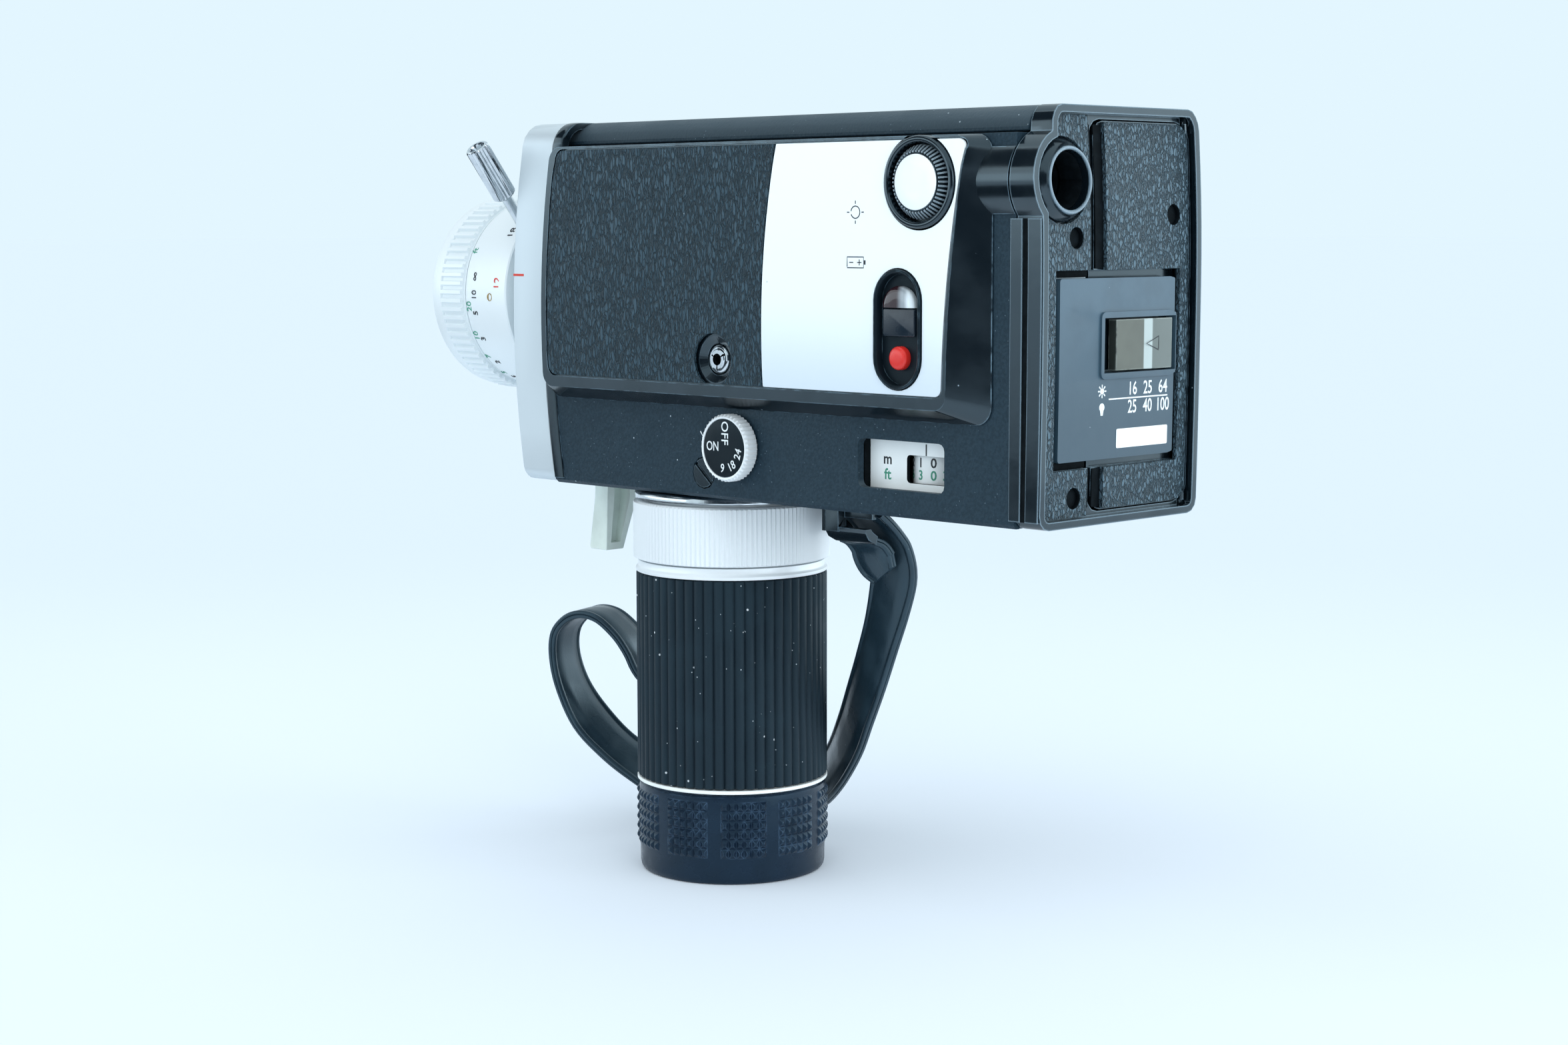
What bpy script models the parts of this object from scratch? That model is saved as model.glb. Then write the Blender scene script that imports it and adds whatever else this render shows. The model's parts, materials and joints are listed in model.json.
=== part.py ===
"""Cartridge-loading cine camera with a pistol grip, as an assembly of named sub-parts.

Sizes are in millimetres and become metres when a mesh is made. +Z is up, the lens looks
along -Y, the operator's left is +X, and the origin is the centre of the grip's base.
"""
import math

import bmesh
import bpy
from mathutils import Vector

MM = 0.001
GAP = 0.3
ROUND = 32

# Body housing
BODY_LEFT = 22.0
BODY_RIGHT = -29.6
BODY_BOTTOM = 89.0
BODY_TOP = 172.5
BODY_REAR = 103.0
BODY_FRONT = -40.0
WALL = 1.8
TOP_CORNER = 5.0
LOW_CORNER = 3.0
LIP_X = 18.3
LIP_Z = 167.3
BOW_Z = 127.0
BOW_RADIUS = 200.0

# Front plate
PLATE_FRONT = -52.2
PLATE_SKIN = 3.0
PLATE_RIM = 2.2

# Lens
LENS_X = -3.5
LENS_Z = 132.4
BARREL_R = 17.5
BARREL_BORE = 14.5
FOCUS_FRONT = -85.4
FOCUS_REAR = -73.0
FOCUS_R = 23.9
FOCUS_TEETH = 40
ZOOM_FRONT = -72.7
ZOOM_REAR = -55.9
LEVER_Y = -54.2
LEVER_BASE = (13.1, 144.5)
LEVER_LEAN = math.radians(36.9)

# Raised pod on the left side
POD_FACE = 27.0
POD_BOTTOM = 112.0
POD_TOP = 166.7
POD_FRONT = -35.2
POD_REAR = 89.6
POD_REAR_HIGH = 93.2
INSERT_FLOOR = 26.1
INSERT_BOTTOM = 113.9
INSERT_TOP = 165.9
INSERT_FRONT = -33.2
INSERT_REAR = 87.0
PANEL_SPLIT = 37.0

# Controls on the left side
KNOB_Y = 82.0
KNOB_Z = 157.5
CHECK_Y = 76.3
CHECK_Z = 128.0
CHECK_R = 6.4
CHECK_HALF = 12.2
BUTTON_Z = 122.2
JACK_Y = 22.2
JACK_Z = 120.0
DIAL_Y = 24.2
DIAL_Z = 100.8
DIAL_R = 7.4
PLUG_Y = 14.0
PLUG_Z = 94.5
COUNTER_Y = (60.7, 84.6)
COUNTER_Z = (94.7, 104.9)
MASK_X = (17.2, 18.1, 19.9)
MASK_Y = (59.2, 87.0)
MASK_Z = (92.6, 107.0)

# Rear frame, door and eyepiece
FRAME_FRONT = 103.4
RIM_REAR = 110.0
RIM_WALL = 1.6
PANEL_FLOOR = 107.5
LEATHER_LOW = 107.8
LEATHER_HIGH = 108.8
EYE_X = 14.4
EYE_Z = 157.7
BULGE_R = 10.3
DOOR_LEFT = 3.3
DOOR_RIGHT = -27.5
DOOR_Z = (91.7, 169.6)
HINGE_X = -27.0
HINGE_Y = 108.0
GROOVE_LEFT = 5.7
POCKET_Z = (100.4, 140.0)
POCKET_X = (-25.7, 16.6)
POCKET_FLOOR = 106.2
LATCH_X = (-21.7, 15.0)
LATCH_Z = (102.0, 138.4)
SLIDER_X = (-21.2, -2.7)
SLIDER_Z = (119.6, 130.1)

# Grip
CAP_R = 21.8
CAP_TOP = 20.7
SLEEVE_R = 22.05
SLEEVE_Z = (22.2, 69.6)
RIBS = 56
LOCK_R = 22.7
LOCK_Z = (72.8, 86.2)
LOCK_TEETH = 56
CELL_R = 7.1
CELL_OFFSET = 7.3

# Film chamber and drive
CHAMBER_X = (-27.5, 2.9)
CHAMBER_Y = (24.0, 102.6)
CHAMBER_Z = (91.1, 170.4)
CHAMBER_WALL = 1.2
MOTOR_X = 11.5
MOTOR_Z = 109.7
SHUTTER_X = 1.95
SHUTTER_Z = 120.2
GEAR_Y = (19.2, 21.4)
PINION_TEETH = 10
SHUTTER_TEETH = 18
SPINDLE_Y = 68.0
SPINDLE_Z = 131.0
WHEEL_TEETH = 20
DRUM_X = 10.1
DRUM_Y = 74.6
DRUM_R = 6.8

# Trigger and strap
TRIGGER_X = 1.5
TRIGGER_PIVOT = (-31.0, 95.0)
STRAP_WIDTH = 12.6
STRAP_NECK = (11.6, 10.0, 8.4, 8.4, 8.4)
STRAP_THICK = 2.0
TONGUE_WIDTHS = (11.8, 11.8, 11.8, 11.8, 8.0)
LUG_X = (-4.2, 4.1, 5.4, 7.6)
LUG_Y = (36.4, 37.4, 41.2, 49.4)
LUG_Z = (82.3, 85.4, 88.7)

FINISHES = {
    "black_crinkle": ((0.035, 0.042, 0.050), 0.55, 0.0),
    "black_gloss": ((0.020, 0.023, 0.030), 0.20, 0.0),
    "leatherette": ((0.030, 0.038, 0.045), 0.60, 0.0),
    "satin_aluminium": ((0.72, 0.75, 0.78), 0.35, 0.9),
    "silver_panel": ((0.86, 0.88, 0.90), 0.25, 0.9),
    "chrome": ((0.80, 0.82, 0.84), 0.10, 1.0),
    "ivory": ((0.72, 0.74, 0.66), 0.40, 0.0),
    "red": ((0.80, 0.05, 0.03), 0.30, 0.0),
    "olive": ((0.20, 0.20, 0.16), 0.40, 0.0),
    "slate": ((0.10, 0.13, 0.17), 0.35, 0.2),
    "rubber": ((0.035, 0.040, 0.045), 0.80, 0.0),
    "navy_plastic": ((0.030, 0.038, 0.060), 0.35, 0.0),
    "vinyl": ((0.030, 0.036, 0.042), 0.45, 0.0),
    "white": ((0.80, 0.83, 0.84), 0.45, 0.0),
    "glass": ((0.60, 0.70, 0.78), 0.05, 0.0),
    "smoke": ((0.05, 0.05, 0.06), 0.08, 0.0),
    "brass": ((0.70, 0.52, 0.25), 0.35, 1.0),
    "steel": ((0.55, 0.56, 0.58), 0.35, 1.0),
    "inner_black": ((0.02, 0.02, 0.02), 0.70, 0.0),
    "cell_wrap": ((0.18, 0.20, 0.24), 0.40, 0.3),
}


def clear_scene():
    for thing in list(bpy.data.objects):
        bpy.data.objects.remove(thing, do_unlink=True)


def finish_material(key):
    """One Principled material per finish, made when first asked for."""
    found = bpy.data.materials.get(key)
    if found:
        return found
    colour, roughness, metallic = FINISHES[key]
    made = bpy.data.materials.new(key)
    made.use_nodes = True
    shader = made.node_tree.nodes["Principled BSDF"]
    shader.inputs["Base Color"].default_value = (*colour, 1.0)
    shader.inputs["Roughness"].default_value = roughness
    shader.inputs["Metallic"].default_value = metallic
    return made


def bow(z):
    """How far a bowed front edge falls back at height z."""
    return (z - BOW_Z) ** 2 / (2.0 * BOW_RADIUS)


def arc(cx, cy, radius, start, end, steps):
    """Points on a circle from start to end degrees."""
    points = []
    for i in range(steps + 1):
        angle = math.radians(start + (end - start) * i / steps)
        points.append((cx + radius * math.cos(angle), cy + radius * math.sin(angle)))
    return points


def rounded_box(low, high, radius, steps=3):
    """A rectangle outline with round corners, from its low and high corners."""
    (x0, y0), (x1, y1) = low, high
    outline = arc(x1 - radius, y1 - radius, radius, 0, 90, steps)
    outline += arc(x0 + radius, y1 - radius, radius, 90, 180, steps)
    outline += arc(x0 + radius, y0 + radius, radius, 180, 270, steps)
    outline += arc(x1 - radius, y0 + radius, radius, 270, 360, steps)
    return outline


def levels(low, high, count):
    return [low + (high - low) * i / count for i in range(count + 1)]


def at(axis, u, v, h):
    """Turns plane coordinates u, v and a height h along an axis into x, y, z."""
    if axis == "X":
        return (h, u, v)
    if axis == "Y":
        return (u, h, v)
    return (u, v, h)


def bridge(bm, ring_a, ring_b):
    """Joins two closed rings; one may have a multiple of the other's points."""
    if len(ring_a) < len(ring_b):
        ring_a, ring_b = ring_b, ring_a
    ratio = len(ring_a) // len(ring_b)
    for j in range(len(ring_b)):
        fine = [ring_a[(ratio * j + k) % len(ring_a)] for k in range(ratio + 1)]
        bm.faces.new(fine + [ring_b[(j + 1) % len(ring_b)], ring_b[j]])


def loft(rings, closed=False):
    """A closed mesh through rings of points: capped at both ends, or running round on itself."""
    bm = bmesh.new()
    made = [[bm.verts.new(point) for point in ring] for ring in rings]
    for ring_a, ring_b in zip(made, made[1:]):
        bridge(bm, ring_a, ring_b)
    if closed:
        bridge(bm, made[-1], made[0])
    else:
        bm.faces.new(made[0])
        bm.faces.new(made[-1])
    return bm


def prism(outline, axis, low, high):
    return loft([[at(axis, u, v, low) for u, v in outline], [at(axis, u, v, high) for u, v in outline]])


def box(low, high):
    (x0, y0, z0), (x1, y1, z1) = low, high
    return prism([(x0, y0), (x1, y0), (x1, y1), (x0, y1)], "Z", z0, z1)


def even_angles(count):
    return [2.0 * math.pi * i / count for i in range(count)]


def ring_points(axis, centre, radius, height, angles):
    """A ring round an axis; radius is one number, or one number per angle."""
    radii = radius if isinstance(radius, list) else [radius] * len(angles)
    return [
        at(axis, centre[0] + r * math.cos(a), centre[1] + r * math.sin(a), height)
        for r, a in zip(radii, angles)
    ]


def turned(axis, centre, path, count=ROUND, closed=False, angles=None):
    """A turned piece: path is a list of (radius, height), and a list of radii makes teeth.

    A toothed ring uses the given angles, and its plain rings use an even count that divides them.
    """
    start = angles[0] if angles else 0.0
    plain = [start + angle for angle in even_angles(count)]
    rings = []
    for radius, height in path:
        used = angles if isinstance(radius, list) else plain
        rings.append(ring_points(axis, centre, radius, height, used))
    return loft(rings, closed)


def knurl(radius, depth, teeth):
    """Radii of a ring of V-shaped teeth, two points for each tooth."""
    return [radius if i % 2 == 0 else radius - depth for i in range(2 * teeth)]


def gear_teeth(teeth, module, phase):
    """Angles and radii of a spur gear's outline, with one tooth centred on the phase angle."""
    pitch = 2.0 * math.pi / teeth
    tip = module * (teeth / 2.0 + 0.75)
    root = module * (teeth / 2.0 - 1.1)
    angles = []
    radii = []
    for k in range(teeth):
        middle = phase + k * pitch
        for share, radius in ((-0.30, root), (-0.10, tip), (0.10, tip), (0.30, root)):
            angles.append(middle + share * pitch)
            radii.append(radius)
    return angles, radii


def add(name, finish, bm, origin=(0.0, 0.0, 0.0), smooth=35.0):
    """Makes a named object from a mesh in millimetres, with its origin at a given place."""
    for vert in bm.verts:
        vert.co = (vert.co - Vector(origin)) * MM
    bmesh.ops.recalc_face_normals(bm, faces=bm.faces)
    mesh = bpy.data.meshes.new(name)
    bm.to_mesh(mesh)
    bm.free()
    made = bpy.data.objects.new(name, mesh)
    made.location = Vector(origin) * MM
    bpy.context.scene.collection.objects.link(made)
    mesh.materials.append(finish_material(finish))
    mesh.shade_smooth()
    mesh.set_sharp_from_angle(angle=math.radians(smooth))
    return made


def combine(target, bm, operation):
    """Cuts or joins a helper shape into a piece with a Boolean modifier."""
    number = len(target.modifiers)
    helper = add(f"{target.name}_{operation.lower()}_{number}", "inner_black", bm)
    helper.hide_render = True
    helper.display_type = "WIRE"
    modifier = target.modifiers.new(helper.name, "BOOLEAN")
    modifier.operation = operation
    modifier.solver = "EXACT"
    modifier.object = helper


def cut(target, bm):
    combine(target, bm, "DIFFERENCE")


def join(target, bm):
    combine(target, bm, "UNION")


def rod(axis, centre, radius, low, high, count=16):
    return turned(axis, centre, [(radius, low), (radius, high)], count)


def band(outer, inner, front, rear):
    """A wall between an outer and an inner path of (x, z), running from a front to a rear."""
    stations = []
    for (xo, zo), (xi, zi) in zip(outer, inner):
        stations.append([(xo, front(zo), zo), (xo, rear, zo), (xi, rear, zi), (xi, front(zi), zi)])
    return loft(stations)


def shell_path(inset):
    """The housing's section from its top left lip over the top and right side to the bottom."""
    top = BODY_TOP - TOP_CORNER
    left = LIP_X - TOP_CORNER
    right = BODY_RIGHT + TOP_CORNER
    low_right = BODY_RIGHT + LOW_CORNER
    low = BODY_BOTTOM + LOW_CORNER
    path = [(LIP_X - inset, LIP_Z)]
    path += arc(left, top, TOP_CORNER - inset, 8, 90, 4)
    path += arc(right, top, TOP_CORNER - inset, 90, 180, 4)
    path += [(BODY_RIGHT + inset, z) for z in levels(top, low, 7)[1:-1]]
    path += arc(low_right, low, LOW_CORNER - inset, 180, 270, 3)
    path.append((BODY_LEFT - WALL - GAP, BODY_BOTTOM + inset))
    return path


def body_front(z):
    return BODY_FRONT + bow(z)


def make_housing():
    shell = add("body_shell", "black_crinkle",
                band(shell_path(0.0), shell_path(WALL), body_front, BODY_REAR))
    cut(shell, box((TRIGGER_X - 5.6, -45.0, 88.0), (TRIGGER_X + 5.6, -29.0, 92.0)))

    inner = BODY_LEFT - WALL
    outer_path = [(BODY_LEFT - 0.8, BODY_BOTTOM), (BODY_LEFT, BODY_BOTTOM + 0.8)]
    inner_path = [(inner, BODY_BOTTOM), (inner, BODY_BOTTOM + 0.8)]
    for z in levels(BODY_BOTTOM + 0.8, LIP_Z - GAP - WALL, 6)[1:]:
        outer_path.append((BODY_LEFT, z))
        inner_path.append((inner, z))
    outer_path += [(BODY_LEFT, LIP_Z - GAP), (LIP_X - WALL, LIP_Z - GAP)]
    inner_path += [(inner - 0.4, LIP_Z - GAP - WALL), (LIP_X - WALL, LIP_Z - GAP - WALL)]
    cover = add("side_cover", "black_crinkle", band(outer_path, inner_path, body_front, BODY_REAR))
    window = rounded_box((COUNTER_Y[0], COUNTER_Z[0]), (COUNTER_Y[1], COUNTER_Z[1]), 1.5)
    cut(cover, prism(window, "X", 19.0, 23.0))
    for place, radius in (((DIAL_Y, DIAL_Z), 2.2), ((PLUG_Y, PLUG_Z), 3.6), ((KNOB_Y, KNOB_Z), 1.9)):
        cut(cover, rod("X", place, radius, 19.0, 23.0, 12))


def make_front_plate():
    rows = []
    for radius, low, sign in ((LOW_CORNER, BODY_BOTTOM, -1), (TOP_CORNER, BODY_TOP, 1)):
        corner = []
        for angle in levels(0, 90, 4):
            drop = radius * (1.0 - math.cos(math.radians(angle)))
            rise = radius * (1.0 - math.sin(math.radians(angle)))
            corner.append((low - sign * rise, drop))
        rows.append(corner)
    bottom = rows[0][::-1]
    side = [(z, 0.0) for z in levels(BODY_BOTTOM + LOW_CORNER, BODY_TOP - TOP_CORNER, 9)[1:-1]]
    stations = []
    chamfer = 1.0
    for z, drop in bottom + side + rows[1]:
        left = BODY_LEFT - drop
        right = BODY_RIGHT + drop
        back = BODY_FRONT - GAP + bow(z)
        front = PLATE_FRONT + bow(z)
        stations.append([
            (left, back, z), (left, front + chamfer, z), (left - chamfer, front, z),
            (right + chamfer, front, z), (right, front + chamfer, z), (right, back, z),
        ])
    plate = add("front_plate", "satin_aluminium", loft(stations))
    pocket = []
    for z in levels(BODY_BOTTOM + PLATE_RIM, BODY_TOP - PLATE_RIM - 1.0, 8):
        deep = PLATE_FRONT + PLATE_SKIN + bow(z)
        pocket.append([
            (BODY_LEFT - PLATE_RIM, -30.0, z), (BODY_LEFT - PLATE_RIM, deep, z),
            (BODY_RIGHT + PLATE_RIM, deep, z), (BODY_RIGHT + PLATE_RIM, -30.0, z),
        ])
    cut(plate, loft(pocket))
    cut(plate, rod("Y", (LENS_X, LENS_Z), BARREL_R + GAP, -60.0, -44.0, 24))
    cut(plate, box((TRIGGER_X - 5.6, -45.0, 88.0), (TRIGGER_X + 5.6, -29.0, 93.0)))


def pod_outline(front, rear, rear_high, bottom, top, corner):
    """The pod's outline in side view, with its bowed front edge and the swell beside the knob."""
    outline = []
    for y, z in arc(0.0, bottom + corner, corner, 270, 180, 3):
        outline.append((front + corner + bow(z) + y, z))
    for z in levels(bottom + corner, top - corner, 6)[1:-1]:
        outline.append((front + bow(z), z))
    for y, z in arc(0.0, top - corner, corner, 180, 90, 3):
        outline.append((front + corner + bow(z) + y, z))
    outline += arc(rear_high - corner, top - corner, corner, 90, 0, 3)
    outline += [(rear_high, KNOB_Z - 6.0), (rear, KNOB_Z - 14.0)]
    outline += arc(rear - corner, bottom + corner, corner, 0, -90, 3)
    return outline


def insert_outline(front, rear, low, high, corner=2.0):
    """An outline in the pod's recess; a bowed edge is given as a function of height."""
    left = [(front(z), z) for z in levels(low + corner, high - corner, 6)]
    outline = [(front(low) + corner, low)] + left + [(front(high) + corner, high)]
    outline += [(rear(high) - corner, high)]
    outline += [(rear(z), z) for z in levels(high - corner, low + corner, 6)]
    outline += [(rear(low) - corner, low)]
    return outline


def split_line(z):
    """The bowed line where the leatherette meets the silver panel."""
    return PANEL_SPLIT + 1.2 * bow(z)


def slot_outline(y, z, radius, half):
    reach = half - radius
    return arc(y, z + reach, radius, 0, 180, 8) + arc(y, z - reach, radius, 180, 360, 8)


def make_pod():
    base = BODY_LEFT + GAP
    foot = pod_outline(POD_FRONT - 3.3, 97.3, 97.3, 109.2, POD_TOP + 0.2, 4.0)
    face = pod_outline(POD_FRONT, POD_REAR, POD_REAR_HIGH, POD_BOTTOM, POD_TOP, 3.0)
    rings = [[(base, y, z) for y, z in foot], [(POD_FACE, y, z) for y, z in face]]
    pod = add("side_pod", "black_gloss", loft(rings), smooth=25.0)
    reach = math.degrees(math.acos((base - EYE_X) / BULGE_R))
    tunnel = arc(EYE_X, EYE_Z, BULGE_R, -reach, reach, 10)
    join(pod, prism(tunnel, "Y", 90.0, BODY_REAR))
    recess = insert_outline(
        lambda z: INSERT_FRONT - GAP + bow(z), lambda z: INSERT_REAR + GAP,
        INSERT_BOTTOM - GAP, INSERT_TOP + GAP)
    cut(pod, prism(recess, "X", INSERT_FLOOR, 29.0))
    cut(pod, rod("X", (KNOB_Y, KNOB_Z), 9.7, 21.0, 29.0, 28))
    cut(pod, prism(slot_outline(CHECK_Y, CHECK_Z, CHECK_R + GAP, CHECK_HALF + GAP), "X", 23.0, 29.0))
    cut(pod, turned("X", (JACK_Y, JACK_Z), [(3.5, 23.9), (3.5, 25.0), (5.4, 26.3), (5.4, 29.0)], 24))

    leather = insert_outline(
        lambda z: INSERT_FRONT + bow(z), lambda z: split_line(z) - 0.2, INSERT_BOTTOM, INSERT_TOP)
    panel = add("pod_leatherette", "leatherette", prism(leather, "X", INSERT_FLOOR + GAP, POD_FACE))
    cut(panel, rod("X", (JACK_Y, JACK_Z), 5.7, 25.0, 29.0, 24))

    silver = insert_outline(
        lambda z: split_line(z) + 0.2, lambda z: INSERT_REAR, INSERT_BOTTOM, INSERT_TOP, 1.6)
    plate = add("silver_panel", "silver_panel", prism(silver, "X", INSERT_FLOOR + GAP, POD_FACE))
    cut(plate, rod("X", (KNOB_Y, KNOB_Z), 9.7, 25.0, 29.0, 28))
    cut(plate, prism(slot_outline(CHECK_Y, CHECK_Z, CHECK_R + GAP, CHECK_HALF + GAP), "X", 25.0, 29.0))


def make_pod_controls():
    knob_place = (KNOB_Y, KNOB_Z)
    add("knob_bezel", "black_gloss", turned("X", knob_place, [
        (9.4, 22.6), (9.4, 27.6), (9.0, 28.2), (8.2, 28.2),
        (7.9, 27.6), (7.9, 24.2), (1.9, 24.2), (1.9, 22.6)], 24, closed=True))
    teeth = 28
    add("finder_focus_knob", "black_gloss", turned("X", knob_place, [
        (1.5, 20.3), (1.5, 24.5), (knurl(7.5, 0.45, teeth), 24.6), (knurl(7.5, 0.45, teeth), 27.4),
        (knurl(5.6, 0.2, teeth), 28.8), (5.3, 28.8), (5.3, 29.2)], 14, angles=even_angles(2 * teeth)),
        origin=(24.6, KNOB_Y, KNOB_Z))

    bezel = add("check_bezel", "black_gloss",
                prism(slot_outline(CHECK_Y, CHECK_Z, CHECK_R, CHECK_HALF), "X", 23.3, 27.6))
    cut(bezel, prism(slot_outline(CHECK_Y, CHECK_Z, CHECK_R - 0.9, CHECK_HALF - 0.9), "X", 25.6, 29.0))
    cut(bezel, rod("X", (CHECK_Y, BUTTON_Z), 2.7, 22.0, 29.0))
    lamp = arc(CHECK_Y, CHECK_Z + 4.4, 4.4, 0, 180, 8)
    add("check_lamp", "smoke", loft([
        [(25.9, y, z) for y, z in lamp], [(26.8, y, z) for y, z in lamp],
        [(27.3, CHECK_Y + 0.75 * (y - CHECK_Y), z - 0.2 * (z - CHECK_Z - 4.4)) for y, z in lamp]]))
    add("check_button", "red", turned("X", (CHECK_Y, BUTTON_Z), [
        (2.4, 25.0), (2.4, 27.1), (2.0, 27.4)], 20), origin=(25.0, CHECK_Y, BUTTON_Z))
    add("jack_socket", "chrome", turned("X", (JACK_Y, JACK_Z), [
        (3.2, 24.2), (3.2, 25.0), (1.9, 25.7), (1.25, 25.7), (1.25, 24.2)], 18, closed=True))


def make_side_controls():
    teeth = 32
    add("mode_dial", "satin_aluminium", turned("X", (DIAL_Y, DIAL_Z), [
        (1.9, 18.4), (1.9, 22.4), (7.1, 22.4), (knurl(DIAL_R, 0.4, teeth), 22.7),
        (knurl(DIAL_R, 0.4, teeth), 25.3), (6.7, 25.8)], 16, angles=even_angles(2 * teeth)),
        origin=(22.4, DIAL_Y, DIAL_Z))
    plug = add("access_plug", "black_gloss", rod("X", (PLUG_Y, PLUG_Z), 3.3, 20.4, 22.1))
    tilt = math.radians(-40.0)
    slot = []
    for u, v in ((-4.0, -0.4), (4.0, -0.4), (4.0, 0.4), (-4.0, 0.4)):
        slot.append((PLUG_Y + u * math.cos(tilt) - v * math.sin(tilt),
                     PLUG_Z + u * math.sin(tilt) + v * math.cos(tilt)))
    cut(plug, prism(slot, "X", 21.4, 23.0))
    back, floor, front = MASK_X
    wall = 1.5
    mask = add("counter_mask", "white", box((back, MASK_Y[0], MASK_Z[0]), (front, MASK_Y[1], MASK_Z[1])))
    cut(mask, box((floor, MASK_Y[0] + wall, MASK_Z[0] + wall), (22.0, MASK_Y[1] - wall, MASK_Z[1] - wall)))
    cut(mask, prism(rounded_box((71.0, 95.9), (83.4, 101.7), 0.8), "X", 15.0, 21.0))
    add("counter_drum", "white", turned("Z", (DRUM_X, DRUM_Y), [
        (1.5, 91.1), (1.5, 94.8), (DRUM_R, 94.8), (DRUM_R, 102.8)], 28),
        origin=(DRUM_X, DRUM_Y, 98.8))


def make_lens():
    place = (LENS_X, LENS_Z)
    axis = (LENS_X, -60.0, LENS_Z)
    add("lens_barrel", "inner_black", turned("Y", place, [
        (BARREL_R, -78.0), (BARREL_R, -46.9), (22.3, -46.9), (22.3, -44.0), (16.0, -44.0), (16.0, 2.0),
        (BARREL_BORE, 2.0), (BARREL_BORE, -78.0)], 20, closed=True))

    teeth = FOCUS_TEETH
    flute = knurl(FOCUS_R, 0.7, teeth)
    add("focus_ring", "satin_aluminium", turned("Y", place, [
        (23.2, FOCUS_FRONT), (23.4, -81.6), (flute, -81.3), (flute, -73.4), (22.7, FOCUS_REAR),
        (BARREL_R + GAP, FOCUS_REAR), (BARREL_R + GAP, -78.4), (20.0, -78.4), (21.0, FOCUS_FRONT)],
        40, closed=True, angles=even_angles(2 * teeth)), origin=axis)
    add("front_cell", "inner_black", turned("Y", place, [
        (20.6, -85.0), (19.7, -78.7), (14.8, -78.7), (14.8, -79.5),
        (15.6, -79.5), (15.6, -82.6), (18.6, -84.6)], 24, closed=True), origin=axis)
    dome = [(15.3 * math.sin(math.radians(a)), -81.0 - 2.6 * math.cos(math.radians(a)))
            for a in (90, 60, 35, 12)]
    add("front_element", "glass", turned("Y", place, [(15.3, -79.9)] + dome, 24), origin=axis)

    add("zoom_ring", "satin_aluminium", turned("Y", place, [
        (22.8, ZOOM_FRONT), (24.3, -56.4), (24.0, ZOOM_REAR), (20.2, ZOOM_REAR), (20.2, -52.7),
        (BARREL_R + GAP, -52.7), (BARREL_R + GAP, ZOOM_FRONT)], closed=True), origin=axis)
    make_zoom_lever(axis)
    add("zoom_lens_group", "glass", turned("Y", place, [
        (14.1, -62.0), (14.1, -56.0), (7.0, -54.8)], 18), origin=axis)
    add("rear_lens_group", "glass", turned("Y", place, [
        (7.0, -37.4), (14.1, -36.0), (14.1, -28.0), (7.0, -26.6)], 18))
    half = 10.0
    prism_low = (LENS_X - half, -16.0, LENS_Z - half)
    prism_high = (LENS_X + half, -4.0, LENS_Z + half)
    add("beam_prism", "glass", box(prism_low, prism_high))


def make_zoom_lever(axis):
    """The lever stands in the gap behind the zoom ring's scale, with a fluted hollow end."""
    along = Vector((math.sin(LEVER_LEAN), 0.0, math.cos(LEVER_LEAN)))
    across = Vector((math.cos(LEVER_LEAN), 0.0, -math.sin(LEVER_LEAN)))
    forward = Vector((0.0, 1.0, 0.0))
    base = Vector((LEVER_BASE[0], LEVER_Y, LEVER_BASE[1]))
    teeth = 14
    flute = knurl(2.85, 0.3, teeth)
    rings = []
    for radius, reach in ((1.3, 0.8), (1.3, 13.6), (2.3, 14.2), (flute, 14.6), (flute, 28.0),
                          (2.5, 28.4), (2.0, 28.4), (1.7, 26.4)):
        count = 2 * teeth if isinstance(radius, list) else teeth
        radii = radius if isinstance(radius, list) else [radius] * count
        ring = []
        for r, a in zip(radii, even_angles(count)):
            ring.append(base + along * reach + across * r * math.cos(a) + forward * r * math.sin(a))
        rings.append(ring)
    add("zoom_lever", "chrome", loft(rings), origin=axis)


def rear_outline(inset):
    """The rear rim's outline, with the round swell beside the eyepiece."""
    left = BODY_LEFT - inset
    lip = LIP_X - inset
    radius = BULGE_R - inset
    top = BODY_TOP - TOP_CORNER
    low_arc = math.degrees(math.acos((left - EYE_X) / radius))
    high_arc = math.degrees(math.acos((lip - EYE_X) / radius))
    low = LOW_CORNER - inset
    outline = arc(BODY_LEFT - LOW_CORNER, BODY_BOTTOM + LOW_CORNER, low, 270, 360, 3)
    outline += arc(EYE_X, EYE_Z, radius, -low_arc, high_arc, 10)
    outline += arc(LIP_X - TOP_CORNER, top + 0.6, TOP_CORNER - inset, 15, 90, 4)
    outline += arc(BODY_RIGHT + TOP_CORNER, top + 0.6, TOP_CORNER - inset, 90, 180, 5)
    outline += arc(BODY_RIGHT + LOW_CORNER, BODY_BOTTOM + LOW_CORNER, low, 180, 270, 3)
    return [(x, min(z, BODY_TOP - inset)) for x, z in outline]


def right_of(outline, limit):
    """The part of an outline in x and z that lies at x above a limit."""
    kept = []
    for (xa, za), (xb, zb) in zip(outline, outline[1:] + outline[:1]):
        if xa >= limit:
            kept.append((xa, za))
        if (xa >= limit) != (xb >= limit):
            share = (limit - xa) / (xb - xa)
            kept.append((limit, za + share * (zb - za)))
    return kept


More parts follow.
